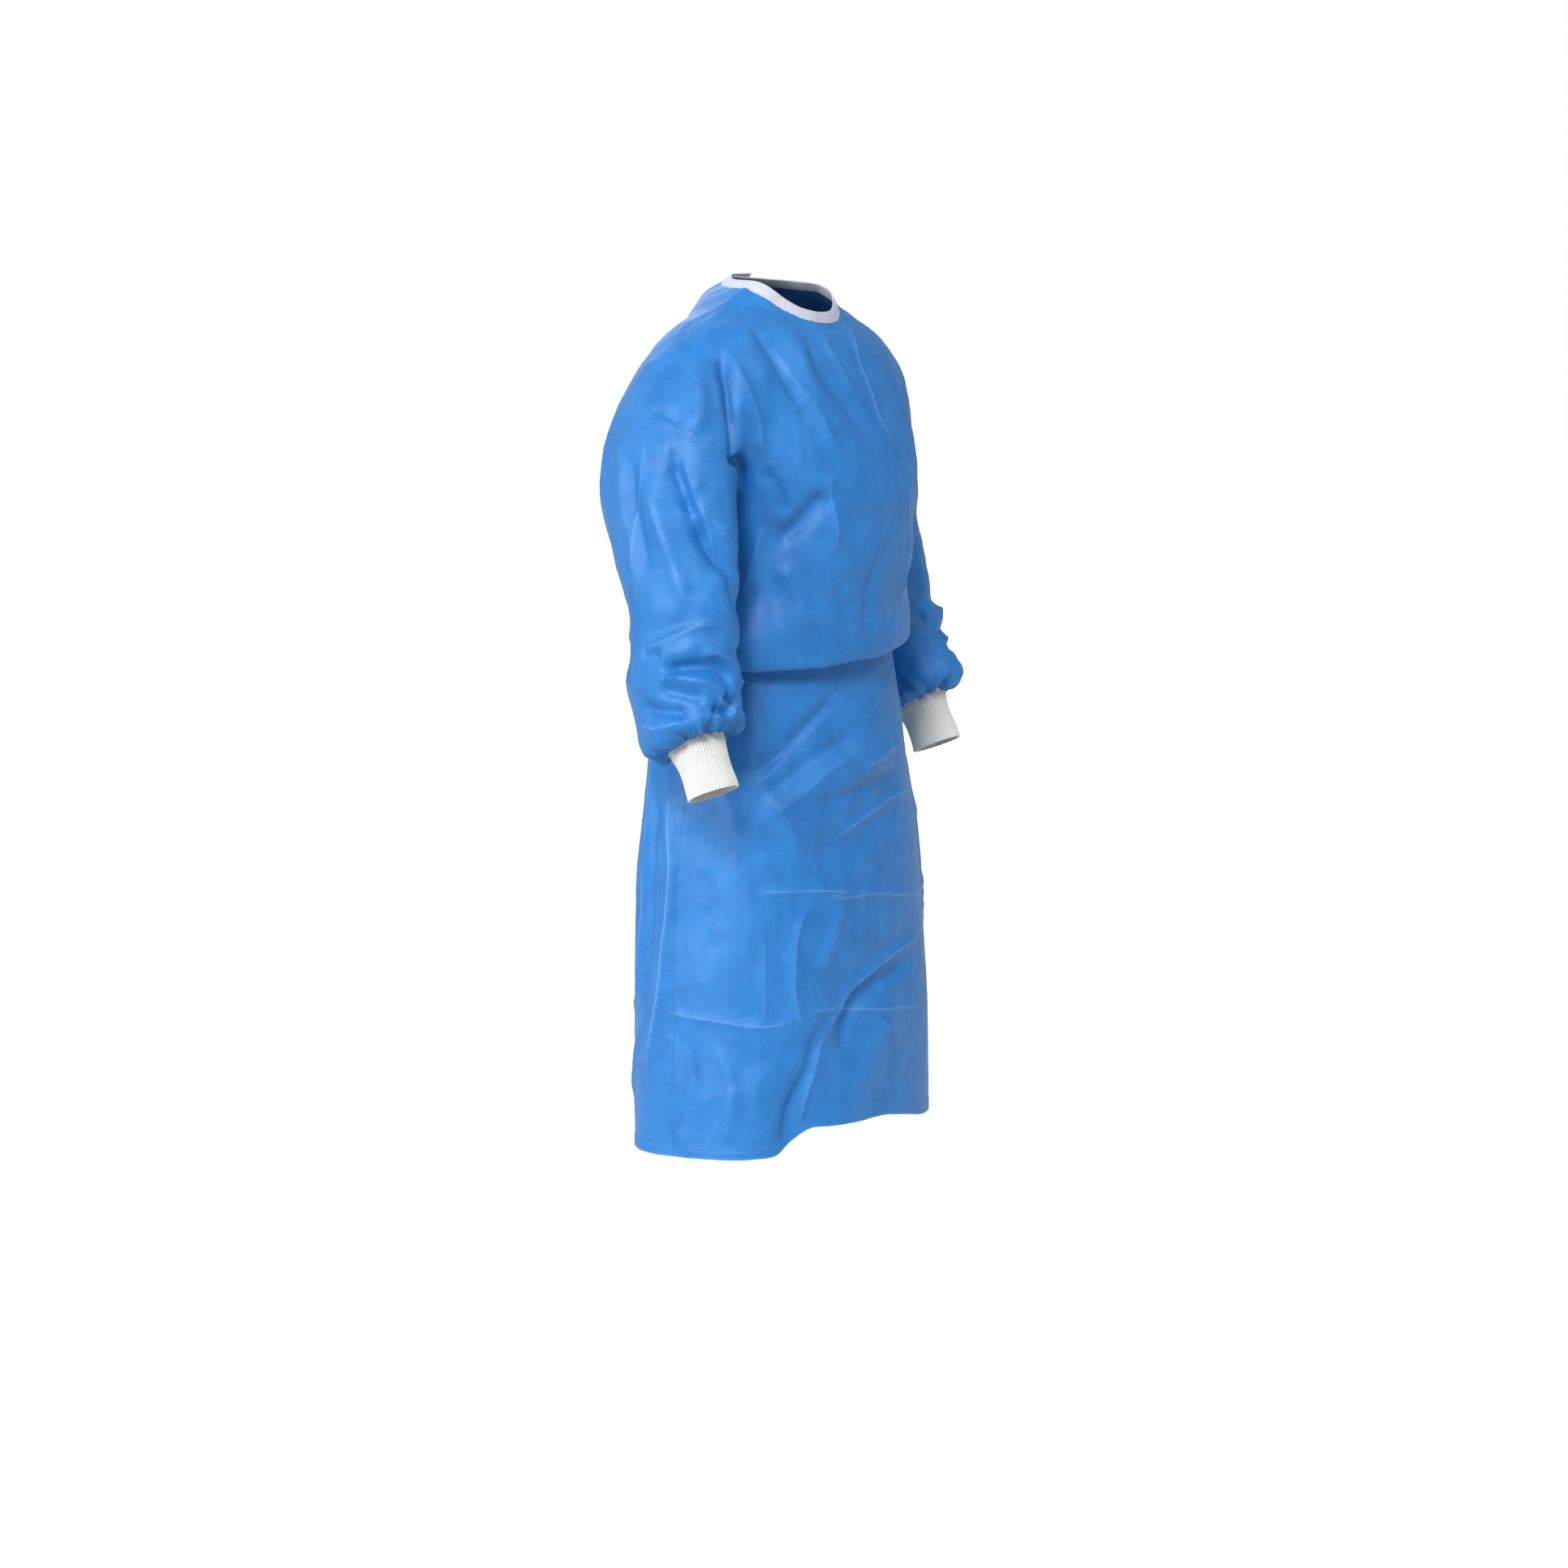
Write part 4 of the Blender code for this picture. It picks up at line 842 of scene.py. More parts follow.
# %% The creases
# A soft crease is rounded. A sharp one comes to a line, like a fold that was pressed.
Crease = namedtuple("Crease", "part shape width depth pale places")
CREASES = (
    # Pressed lines down the front, from the way it was packed.
    Crease("body", "sharp", 0.0045, +0.0016, 0.9, (
        (66, -0.018), (74, -0.040), (81.4, -0.062), (81.9, -0.131), (77, -0.158), (74.9, -0.179))),
    Crease("body", "sharp", 0.0060, +0.0016, 0.5, (
        (74.9, -0.179), (65.8, -0.205), (70.2, -0.228), (65.5, -0.313), (64.8, -0.346), (63.5, -0.402))),
    Crease("body", "sharp", 0.0060, -0.0010, 0.3, (
        (83.3, -0.066), (75.3, -0.078), (63.5, -0.115), (54.6, -0.127))),
    Crease("body", "sharp", 0.0045, +0.0013, 0.6, (
        (152, -0.686), (133, -0.688), (116, -0.692), (100, -0.699))),
    Crease("body", "sharp", 0.0045, +0.0012, 0.6, (
        (108, -0.697), (80, -0.706), (47, -0.716), (10, -0.716))),
    Crease("body", "sharp", 0.0045, +0.0014, 0.7, (
        (186, -0.832), (165, -0.838), (146.4, -0.845), (134, -0.838))),
    Crease("body", "sharp", 0.0045, +0.0012, 0.6, (
        (136, -0.838), (125.7, -0.831), (90, -0.842), (46, -0.856))),
    Crease("body", "sharp", 0.0050, +0.0010, 0.3, ((148, -0.730), (147.8, -0.780), (147.5, -0.850))),
    # Drag lines from the neck and the bust.
    Crease("body", "soft", 0.0085, -0.0020, 0.0, (
        (154.9, -0.028), (148, -0.050), (142.1, -0.072), (131.6, -0.120))),
    Crease("body", "soft", 0.0080, -0.0018, 0.0, ((126.5, -0.031), (116.8, -0.084), (97.6, -0.139))),
    Crease("body", "soft", 0.0075, +0.0016, 0.2, (
        (147, -0.040), (136, -0.085), (124, -0.130), (116, -0.180))),
    Crease("body", "soft", 0.0070, +0.0014, 0.1, ((110, -0.030), (103, -0.080), (90, -0.120))),
    # The deep fold between the chest and the right sleeve, and the ridge beside it.
    Crease("body", "soft", 0.0075, -0.0066, 0.0, (
        (166.5, -0.046), (164, -0.060), (161.9, -0.076), (159.3, -0.099), (158, -0.123), (157, -0.146),
        (156.2, -0.174), (158, -0.203), (159.6, -0.232))),
    Crease("body", "soft", 0.0120, +0.0034, 0.0, (
        (171, -0.060), (168.5, -0.090), (166, -0.120), (165, -0.155))),
    Crease("body", "sharp", 0.0080, +0.0022, 0.2, (
        (161, -0.060), (154, -0.099), (150, -0.137), (148, -0.180))),
    # Pinches along the seam of the right armhole.
    Crease("body", "sharp", 0.0050, -0.0018, 0.0, ((196, -0.145), (189, -0.138), (183, -0.130))),
    Crease("body", "sharp", 0.0050, -0.0020, 0.0, ((180, -0.122), (174.3, -0.128), (169, -0.140))),
    Crease("body", "sharp", 0.0090, +0.0030, 0.3, (
        (118, -0.196), (121.6, -0.216), (117.9, -0.266), (119.4, -0.300))),
    Crease("body", "soft", 0.0110, -0.0034, 0.0, (
        (121, -0.214), (128, -0.240), (136, -0.262), (146, -0.278))),
    Crease("body", "sharp", 0.0080, +0.0026, 0.2, (
        (147, -0.255), (150, -0.272), (156.3, -0.322), (160, -0.350))),
    Crease("body", "soft", 0.0060, -0.0016, 0.0, (
        (120, -0.336), (116.1, -0.342), (111.1, -0.356), (104.4, -0.343))),
    Crease("body", "soft", 0.0090, -0.0022, 0.0, ((150, -0.190), (143, -0.215), (139, -0.250))),
    Crease("body", "soft", 0.0100, +0.0022, 0.1, ((141, -0.300), (134, -0.345), (128, -0.392))),
    Crease("body", "soft", 0.0090, -0.0020, 0.0, ((96, -0.300), (97, -0.350), (92, -0.395))),
    # The front of the skirt, under the waist.
    Crease("body", "soft", 0.0100, -0.0036, 0.0, (
        (106, -0.458), (121, -0.482), (134.6, -0.514), (153.4, -0.555))),
    Crease("body", "sharp", 0.0120, +0.0034, 0.1, (
        (110, -0.474), (124, -0.497), (138, -0.527), (153, -0.569))),
    Crease("body", "soft", 0.0110, -0.0030, 0.0, (
        (94, -0.506), (122, -0.530), (138.7, -0.556), (151.5, -0.583))),
    Crease("body", "sharp", 0.0110, +0.0028, 0.2, (
        (88, -0.518), (110, -0.538), (132, -0.572), (148, -0.605))),
    Crease("body", "sharp", 0.0070, +0.0026, 0.6, (
        (50, -0.530), (66, -0.532), (82, -0.544), (96.2, -0.549))),
    Crease("body", "sharp", 0.0070, +0.0028, 0.6, (
        (46, -0.587), (66, -0.592), (90, -0.608), (118, -0.632))),
    Crease("body", "soft", 0.0080, -0.0024, 0.0, (
        (60, -0.566), (90, -0.572), (118, -0.585), (132, -0.590))),
    Crease("body", "soft", 0.0090, +0.0020, 0.0, ((150, -0.560), (140, -0.600), (132, -0.650))),
    Crease("body", "sharp", 0.0050, +0.0022, 0.6, (
        (122, -0.688), (116, -0.700), (104, -0.702), (92, -0.698))),
    # Lower down it is crossed by a long fold.
    Crease("body", "sharp", 0.0075, +0.0032, 0.8, (
        (44.7, -0.765), (70, -0.778), (92, -0.795), (107.8, -0.815), (120.2, -0.854), (124, -0.885))),
    Crease("body", "soft", 0.0100, -0.0030, 0.0, (
        (60, -0.795), (90, -0.812), (108, -0.838), (114, -0.890))),
    Crease("body", "sharp", 0.0070, +0.0022, 0.4, (
        (130, -0.700), (136, -0.745), (137, -0.800), (133, -0.860))),
    Crease("body", "soft", 0.0090, +0.0020, 0.2, ((112, -0.705), (119, -0.750), (126, -0.790))),
    Crease("body", "sharp", 0.0065, +0.0024, 0.4, (
        (122, -0.842), (127, -0.890), (131, -0.930), (134, -0.975))),
    Crease("body", "soft", 0.0090, -0.0026, 0.0, (
        (126, -0.850), (131, -0.900), (138, -0.950), (142, -1.005))),
    Crease("body", "sharp", 0.0070, +0.0020, 0.3, ((92, -0.850), (80, -0.880), (68, -0.930))),
    Crease("body", "soft", 0.0100, +0.0022, 0.1, ((164, -0.860), (158, -0.920), (160, -0.990))),
    Crease("body", "soft", 0.0100, -0.0022, 0.0, ((176, -0.850), (172, -0.910), (176, -0.990))),
    # The right side, where the skirt turns to the back.
    Crease("body", "sharp", 0.0070, +0.0034, 0.8, (
        (191.2, -0.541), (185.4, -0.597), (181.7, -0.673), (182.9, -0.740), (184.5, -0.809),
        (189.8, -0.889), (193.3, -0.940))),
    Crease("body", "soft", 0.0070, -0.0026, 0.1, (
        (197, -0.540), (193, -0.640), (191, -0.760), (197, -0.880))),
    Crease("body", "sharp", 0.0060, +0.0026, 0.7, (
        (203, -0.520), (199, -0.620), (198, -0.740), (204, -0.860))),
    Crease("body", "soft", 0.0070, +0.0020, 0.3, (
        (190, -0.800), (196, -0.860), (203, -0.900), (208, -0.960))),
    Crease("body", "soft", 0.0090, -0.0024, 0.0, ((209, -0.540), (206, -0.680), (209, -0.830))),
    # The left side and the back, in the same manner.
    Crease("body", "sharp", 0.0070, +0.0026, 0.5, (
        (30, -0.470), (24, -0.560), (26, -0.680), (20, -0.800), (22, -0.920))),
    Crease("body", "soft", 0.0090, -0.0026, 0.0, ((12, -0.460), (10, -0.580), (14, -0.720), (9, -0.880))),
    Crease("body", "sharp", 0.0075, +0.0024, 0.5, (
        (354, -0.480), (350, -0.620), (352, -0.760), (346, -0.900))),
    Crease("body", "soft", 0.0100, -0.0030, 0.0, (
        (328, -0.500), (327, -0.640), (330, -0.800), (326, -0.960))),
    Crease("body", "sharp", 0.0080, +0.0026, 0.4, (
        (306, -0.480), (304, -0.620), (300, -0.780), (303, -0.930))),
    Crease("body", "soft", 0.0100, -0.0028, 0.0, ((290, -0.470), (288, -0.600), (285, -0.760))),
    Crease("body", "soft", 0.0100, +0.0028, 0.1, (
        (262, -0.470), (256, -0.600), (258, -0.740), (252, -0.900))),
    Crease("body", "soft", 0.0110, -0.0030, 0.0, ((246, -0.480), (244, -0.640), (240, -0.800))),
    Crease("body", "sharp", 0.0080, +0.0024, 0.4, (
        (228, -0.480), (226, -0.620), (230, -0.790), (226, -0.940))),
    Crease("body", "soft", 0.0090, -0.0026, 0.0, (
        (222, -0.360), (228, -0.310), (238, -0.250), (246, -0.200))),
    Crease("body", "soft", 0.0090, +0.0024, 0.1, (
        (214, -0.330), (220, -0.280), (228, -0.230), (236, -0.170))),
    Crease("body", "soft", 0.0090, -0.0026, 0.0, (
        (318, -0.360), (312, -0.310), (304, -0.260), (296, -0.210))),
    Crease("body", "soft", 0.0090, +0.0024, 0.1, (
        (328, -0.340), (322, -0.280), (314, -0.230), (306, -0.170))),
    Crease("body", "soft", 0.0080, -0.0020, 0.0, ((250, -0.030), (246, -0.080), (240, -0.140))),
    Crease("body", "soft", 0.0080, -0.0020, 0.0, ((292, -0.030), (297, -0.080), (303, -0.140))),
    Crease("body", "sharp", 0.0050, +0.0013, 0.5, (
        (196, -0.846), (225, -0.842), (250, -0.848), (285, -0.844))),
    Crease("body", "sharp", 0.0050, +0.0013, 0.5, (
        (345, -0.700), (310, -0.706), (280, -0.700), (246, -0.704))),
    Crease("body", "sharp", 0.0050, +0.0012, 0.4, ((330, -0.852), (300, -0.850), (280, -0.846))),
    Crease("body", "sharp", 0.0050, +0.0012, 0.4, ((240, -0.120), (240, -0.220), (242, -0.330))),
    # The right sleeve: long folds down from the shoulder, then heaps across it.
    Crease("right", "soft", 0.0085, -0.0034, 0.0, (
        (146, 0.190), (142.9, 0.210), (133, 0.250), (122.3, 0.290))),
    Crease("right", "soft", 0.0170, -0.0028, 0.0, ((138, 0.250), (125, 0.285), (110, 0.320), (96, 0.350))),
    Crease("right", "sharp", 0.0080, +0.0028, 0.3, (
        (133, 0.205), (126, 0.245), (116, 0.285), (104, 0.325))),
    Crease("right", "soft", 0.0110, -0.0046, 0.0, (
        (130, 0.284), (121, 0.296), (108, 0.322), (92, 0.340), (83, 0.384))),
    Crease("right", "sharp", 0.0080, +0.0030, 0.2, (
        (146, 0.262), (134, 0.276), (120, 0.276), (104, 0.296), (90, 0.312))),
    Crease("right", "sharp", 0.0050, +0.0013, 0.5, (
        (178, 0.176), (174, 0.202), (174.5, 0.228), (181, 0.253), (190, 0.279), (197, 0.330),
        (198, 0.370))),
    Crease("right", "soft", 0.0100, +0.0024, 0.2, ((170, 0.230), (158, 0.290), (146, 0.345), (136, 0.380))),
    Crease("right", "sharp", 0.0090, +0.0022, 0.2, (
        (206, 0.170), (203, 0.240), (197, 0.310), (190, 0.370))),
    Crease("right", "soft", 0.0090, -0.0028, 0.0, ((190, 0.200), (185, 0.270), (178, 0.340))),
    Crease("right", "sharp", 0.0080, +0.0040, 0.3, (
        (205, 0.428), (184.2, 0.4175), (153, 0.406), (119.4, 0.3945), (98, 0.394))),
    Crease("right", "soft", 0.0075, -0.0042, 0.0, (
        (168, 0.446), (154.8, 0.442), (120.7, 0.441), (99.8, 0.4505), (89.6, 0.468))),
    Crease("right", "sharp", 0.0080, +0.0040, 0.2, (
        (180, 0.452), (158, 0.452), (138, 0.455), (112, 0.466), (96, 0.480))),
    Crease("right", "soft", 0.0070, -0.0036, 0.0, (
        (173.3, 0.462), (156.3, 0.468), (140, 0.474), (122.3, 0.480))),
    Crease("right", "soft", 0.0080, -0.0030, 0.0, ((196, 0.418), (180, 0.424), (166, 0.430))),
    Crease("right", "sharp", 0.0075, +0.0032, 0.2, ((128, 0.428), (112, 0.428), (94, 0.438), (80, 0.452))),
    Crease("right", "soft", 0.0060, -0.0060, 0.0, ((104, 0.474), (96, 0.482), (84, 0.492))),
    Crease("right", "soft", 0.0060, -0.0060, 0.0, ((118, 0.492), (106, 0.498), (94, 0.506))),
    Crease("right", "sharp", 0.0070, +0.0036, 0.3, ((112, 0.484), (100, 0.491), (88, 0.500))),
    Crease("right", "sharp", 0.0080, +0.0030, 0.5, (
        (210, 0.494), (194.8, 0.502), (176, 0.508), (150, 0.510))),
    Crease("right", "soft", 0.0070, -0.0034, 0.0, ((200, 0.478), (180, 0.486), (160, 0.492), (140, 0.496))),
    Crease("right", "soft", 0.0085, -0.0034, 0.0, ((236, 0.400), (250, 0.440), (268, 0.462))),
    Crease("right", "sharp", 0.0080, +0.0032, 0.2, (
        (222, 0.424), (240, 0.452), (262, 0.476), (286, 0.484))),
    Crease("right", "soft", 0.0085, -0.0034, 0.0, ((300, 0.330), (286, 0.370), (266, 0.400))),
    Crease("right", "soft", 0.0080, -0.0034, 0.0, ((40, 0.400), (64, 0.424), (84, 0.436))),
    Crease("right", "sharp", 0.0080, +0.0030, 0.2, ((20, 0.430), (44, 0.450), (70, 0.462))),
    # Pinches beside the armhole's seam.
    Crease("right", "soft", 0.0060, -0.0028, 0.0, ((176, 0.158), (166, 0.172), (158, 0.190))),
    Crease("right", "soft", 0.0060, -0.0026, 0.0, ((196, 0.160), (200, 0.178), (206, 0.196))),
    Crease("right", "soft", 0.0065, +0.0024, 0.2, ((158, 0.176), (148, 0.200), (143, 0.226))),
    # The left sleeve.
    Crease("left", "soft", 0.0085, -0.0032, 0.0, ((140, 0.200), (134, 0.240), (124, 0.290))),
    Crease("left", "sharp", 0.0085, +0.0026, 0.3, ((160, 0.210), (152, 0.270), (144, 0.330), (130, 0.380))),
    Crease("left", "soft", 0.0085, -0.0030, 0.0, ((200, 0.230), (194, 0.300), (184, 0.360))),
    Crease("left", "sharp", 0.0080, +0.0036, 0.3, ((200, 0.402), (170, 0.414), (140, 0.420), (110, 0.424))),
    Crease("left", "sharp", 0.0075, +0.0030, 0.3, (
        (77.7, 0.430), (88, 0.436), (101.9, 0.444), (118, 0.444))),
    Crease("left", "soft", 0.0075, -0.0038, 0.0, ((170, 0.434), (140, 0.438), (110, 0.446), (86, 0.456))),
    Crease("left", "soft", 0.0070, -0.0038, 0.0, ((150, 0.466), (124, 0.472), (98, 0.478))),
    Crease("left", "sharp", 0.0080, +0.0032, 0.2, ((180, 0.458), (150, 0.456), (120, 0.462), (92, 0.470))),
    Crease("left", "soft", 0.0085, -0.0034, 0.0, ((236, 0.400), (250, 0.430), (268, 0.452))),
    Crease("left", "sharp", 0.0080, +0.0030, 0.2, ((222, 0.430), (240, 0.452), (262, 0.466), (286, 0.474))),
    Crease("left", "soft", 0.0085, -0.0032, 0.0, ((300, 0.320), (286, 0.360), (266, 0.390))),
    Crease("left", "soft", 0.0080, -0.0034, 0.0, ((40, 0.400), (64, 0.416), (84, 0.430))),
)
print("creases:", len(CREASES))


RELIEF = {"soft": 2.1, "sharp": 1.9}   # the depths above are those of cloth under light tension
LINE_REACH = 0.010                     # a pale line is marked on points this near to it


PLACES_BETWEEN = 6
REACH_WIDTHS = 4.5                     # a crease is felt this many of its widths away


def skin_point(angle, z):
    """The joined skin's places at some angles and heights: where rays from the axis leave it."""
    radius = body_radius(angle, z) * 0.98 + np.linspace(0, 0.09, 91)[:, None]
    inside = skin_field(placed(angle, radius, z)) < 0
    first = np.where(inside.all(0), 0, inside.argmin(0))
    return placed(angle, radius[first, np.arange(len(z))], z)


def crease_line(part, places):
    """A smooth line on the skin through a crease's places."""
    knots = np.arange(len(places))
    fine = np.linspace(0, len(places) - 1, PLACES_BETWEEN * (len(places) - 1) + 1)
    first, second = (smooth_between(fine, knots, [place[k] for place in places]) for k in (0, 1))
    return skin_point(first, second) if part == "body" else arm_point(arms[part], second, first)


CREASE_LINES = [crease_line(crease.part, crease.places) for crease in CREASES]


def crease_depth(points, out, part):
    """How far the creases move points, how pale their lines are, and how far off a line is.

    The distance has a sign, one on each side, so that it passes through nought on the line
    itself. The finish can then draw a line much thinner than the mesh is fine.
    """
    depth, pale, off = (np.zeros(points.shape[:-1]) for _ in range(3))
    off += 1
    for crease, line in zip(CREASES, CREASE_LINES):
        reach = max(REACH_WIDTHS * crease.width, 2 * LINE_REACH)
        near = ((points > line.min(0) - reach) & (points < line.max(0) + reach)).all(-1)
        if crease.part == part and near.any():
            gap, where, side = nearest(points[near], line, out[near])
            taper = ease(where, 0, 0.2) * ease(1 - where, 0, 0.2)
            away = gap / crease.width
            profile = np.exp(-(away ** 2)) if crease.shape == "soft" else np.exp(-1.25 * away)
            profile *= 1 - ease(gap, 0.7 * reach, reach)
            depth[near] += RELIEF[crease.shape] * crease.depth * taper * profile
            # The pale mark is painted colour, partly wear and partly a painted highlight on the crease.
            mark = crease.pale * taper * np.exp(-((gap / LINE_REACH) ** 2))
            off[near] = np.where(mark > pale[near], gap * side, off[near])
            pale[near] = np.maximum(pale[near], mark)
    return depth, pale, off


# %% [markdown]
# Between the placed creases the cloth is never quite flat. A little uneven crinkle, in
# three sizes, takes the machine-made look off it. Creased cloth has sharp ridges with
# shallow hollows between them, which is what the absolute value of a smooth noise gives.

# %% Crinkle
def lattice(points, size, seed):
    """Smooth uneven values from -1 to 1, the same on each run."""
    places = points / size + seed * 17.3
    low = np.floor(places).astype(np.int64)
    t = places - low
    t = t * t * (3 - 2 * t)
    total = 0.0
    for corner in np.ndindex(2, 2, 2):
        at = low + np.array(corner)
        mixed = np.sin(at @ np.array([127.1, 311.7, 74.7]) + seed) * 43758.5453
        value = 2 * (mixed - np.floor(mixed)) - 1
        weight = np.where(np.array(corner), t, 1 - t).prod(-1)
        total = total + value * weight
    return total


CRINKLE_WIDE, CRINKLE_SMALL, CRINKLE_FINE = 0.0022, 0.0008, 0.00018


def crinkle(points, stretch=(1, 1, 1)):
    at = points / np.array(stretch)
    bend = np.stack([lattice(at, 0.05, k) for k in (5, 6, 7)], -1) * 0.012
    wide = 1 - 2 * np.abs(lattice(at + bend, 0.085, 1))
    small = 1 - 2 * np.abs(lattice(at + bend, 0.024, 2))
    fine = lattice(at, 0.009, 3)
    return CRINKLE_WIDE * wide + CRINKLE_SMALL * small + CRINKLE_FINE * fine


sample = crinkle(fines["front"].points)
print("crinkle of the front:", round(float(sample.std()) * 1000, 2), "mm")

# %% [markdown]
# The cloth is drawn in by what holds it. Under and over the tie it is gathered into short
# upright puckers, most of them behind. At the wrist the wide sleeve is gathered to the
# narrow cuff in about twenty uneven pleats. Along a seam the thread pulls the cloth into a
# shallow valley with small puckers across it.

# %% Gathers and seams
def waves(turn, counts, seed):
    """Uneven waves round a full turn in degrees, from -1 to 1."""
    total = 0.0
    for k, count in enumerate(counts):
        total = total + np.sin(np.radians(turn) * count + seed * (k + 1.7) * 2.3)
    return total / len(counts)


WAIST_GATHER = 0.0016
PLEAT, FINE_PLEAT = 0.0044, 0.0017
ROLL_HANG = 0.0052


def waist_gathers(points):
    angle, z = angle_of(points), points[..., 2]
    off = z - by_angle(WAIST, angle)
    below = ease(off, -0.085, -0.012) * (1 - ease(off, -0.004, 0.010))
    above = ease(off, 0.0, 0.030) * (1 - ease(off, 0.035, 0.110))
    behind = 0.25 + 0.75 * ease(np.abs(angle - 90), 70, 130)
    puckers = below * waves(angle, (37, 53, 29), 1.0) + above * waves(angle, (31, 47, 23), 2.0)
    return behind * WAIST_GATHER * puckers


def sleeve_gathers(fine, side):
    """Pleats at the wrist, fading up the sleeve."""
    turn = fine.column[None, :] / (2 * ARMHOLE_ROWS) * 360
    near = np.exp(-((fine.from_end / 0.034) ** 2)) * (1 - 0.35 * np.exp(-((fine.from_end / 0.006) ** 2)))
    lean = turn + 30 * waves(turn, (2, 5), SIDES[side]) * near
    pleats = PLEAT * waves(lean, (19, 27, 12), 3.1 + SIDES[side])
    return near * (pleats + FINE_PLEAT * waves(lean, (41, 33), 1.3))


def sleeve_hang(fine, side):
    """The roll of cloth over the cuff hangs lower in some places than in others."""
    turn = fine.column[None, :] / (2 * ARMHOLE_ROWS) * 360
    roll = np.exp(-(((fine.from_end - 0.016) / 0.012) ** 2))
    return ROLL_HANG * roll * waves(turn, (5, 9, 14), 1.7 + SIDES[side])


SEAM_DIP, SEAM_WIDTH = 0.0006, 0.0022


def seam_dip(points, distance):
    """The valley along a seam and the puckers across it."""
    pucker = lattice(points, 0.010, 9) * 0.0009 * np.exp(-((distance / 0.009) ** 2))
    return pucker - SEAM_DIP * np.exp(-((distance / SEAM_WIDTH) ** 2))


HEM_WIDTH = 0.0125
HEM_PROUD = 0.0007


def hem_turn(distance):
    """A turned hem stands a little proud, and its line of sewing is pressed in."""
    band = HEM_PROUD * (1 - ease(distance, HEM_WIDTH - 0.0008, HEM_WIDTH + 0.0014))
    return band - 0.0006 * np.exp(-(((distance - HEM_WIDTH + 0.0016) / 0.0010) ** 2))


print("a hem is", HEM_WIDTH * 1000, "mm deep")

# %% Move the fine grids
def lap_lift(points, name):
    if name != "back_right":
        return np.zeros(points.shape[:-1])
    angle, z = angle_of(points), points[..., 2]
    return LAP * ease(angle, 270 - past(z) - 24, 270 - past(z) - 4)


EDGE_ROW = SKIRT_ROWS + 7.3        # the bodice's lowest row, where it turns back to the tie
EDGE_LIP = 0.0042


def bodice_edge(fine):
    """The bodice hangs over the tie with a flat pressed edge, not a round one."""
    blouse = by_angle(WAIST, angle_of(fine.points), "blouse")
    return EDGE_LIP * blouse * np.exp(-np.abs(fine.row[:, None] - EDGE_ROW) / 0.7)


def body_relief(points, out):
    """Everything that moves the body's skin, and the pale lines on it."""
    creased, pale, off = crease_depth(points, out, "body")
    stretch = (1, 1, 1.6)
    depth = fold_depth(points, out, "body") + creased + crinkle(points, stretch) + waist_gathers(points)
    return depth, pale, off


def formed_body(name):
    fine = fines[name]
    depth, pale, off = body_relief(fine.points, fine.out)
    depth += lap_lift(fine.points, name) + hem_turn(fine.from_start) + bodice_edge(fine)
    depth += seam_dip(fine.points, fine.from_left)
    if name == "front":
        depth += seam_dip(fine.points, fine.from_right)
    else:
        depth += hem_turn(fine.from_right)
    past_shoulder = fine.column[None, :] - SHOULDER_COLUMNS
    if name == "front":
        other = len(grids[name][0]) - 1 - SHOULDER_COLUMNS - fine.column[None, :]
        past_shoulder = np.minimum(past_shoulder, other)
    depth += seam_dip(fine.points, fine.from_end) * (1 - ease(past_shoulder, -0.5, 0.2))
    return fine.points + fine.out * depth[..., None], pale, off


def formed_sleeve(side):
    fine = fines["sleeve_" + side]
    body_depth, body_pale, body_off = body_relief(fine.points, fine.out)
    creased, pale, off = crease_depth(fine.points, fine.out, side)
    step, left = fine.row[:, None], len(grids["sleeve_" + side]) - 1 - fine.row[:, None]
    away = ease(step, 0, 3)
    fade = away * ease(left, 1, 5)
    depth = (1 - away) * body_depth + fade * fold_depth(fine.points, fine.out, side)
    depth += away * ease(left, 0, 3) * creased + away * crinkle(fine.points)
    depth += sleeve_gathers(fine, side) + seam_dip(fine.points, fine.from_start)
    down = arms[side].tangent[np.searchsorted(arms[side].along, SLEEVE_END[side])]
    points = fine.points + fine.out * depth[..., None] + sleeve_hang(fine, side)[..., None] * down
    body_pale, pale = body_pale * (1 - away), pale * away
    near_body = body_pale > pale
    return points, np.where(near_body, body_pale, pale), np.where(near_body, body_off, off)


formed = {name: formed_body(name) for name in ("front", "back_right", "back_left")}
for side in SIDES:
    formed["sleeve_" + side] = formed_sleeve(side)
for name, (points, *_) in formed.items():
    print(name, "from", np.round(points.min((0, 1)), 3), "to", np.round(points.max((0, 1)), 3))

# %% [markdown]
# Each piece becomes a thin closed shell, a little under a millimetre thick, because light
# on the edge of the hem and the look into the neck both show that cloth has two sides. The
# hems are thicker, where it is turned up. The map that the finishes follow is laid out in
# metres along the cloth, so the weave keeps its size however the cloth is folded.

# %% Turn a grid into a shell of cloth
CLOTH_THICKNESS = 0.0008
HEM_THICKNESS = 0.0022
# The fold of a hem is painted paler, partly as wear and partly as a painted highlight.
HEM_PALE = 0.004                   # the fold of a hem has gone pale


def grid_normals(points, loop, flip):
    down = np.gradient(points, axis=0)
    if loop:
        across = (np.roll(points, -1, 1) - np.roll(points, 1, 1)) / 2
    else:
        across = np.gradient(points, axis=1)
    return unit(np.cross(down, across) if flip else np.cross(across, down))


def distances(points):
    down = np.cumsum(np.linalg.norm(np.diff(points, axis=0, prepend=points[:1]), axis=-1), axis=0)
    across = np.cumsum(np.linalg.norm(np.diff(points, axis=1, prepend=points[:, :1]), axis=-1), axis=1)
    return np.stack([across - across[:, across.shape[1] // 2, None], down], -1)


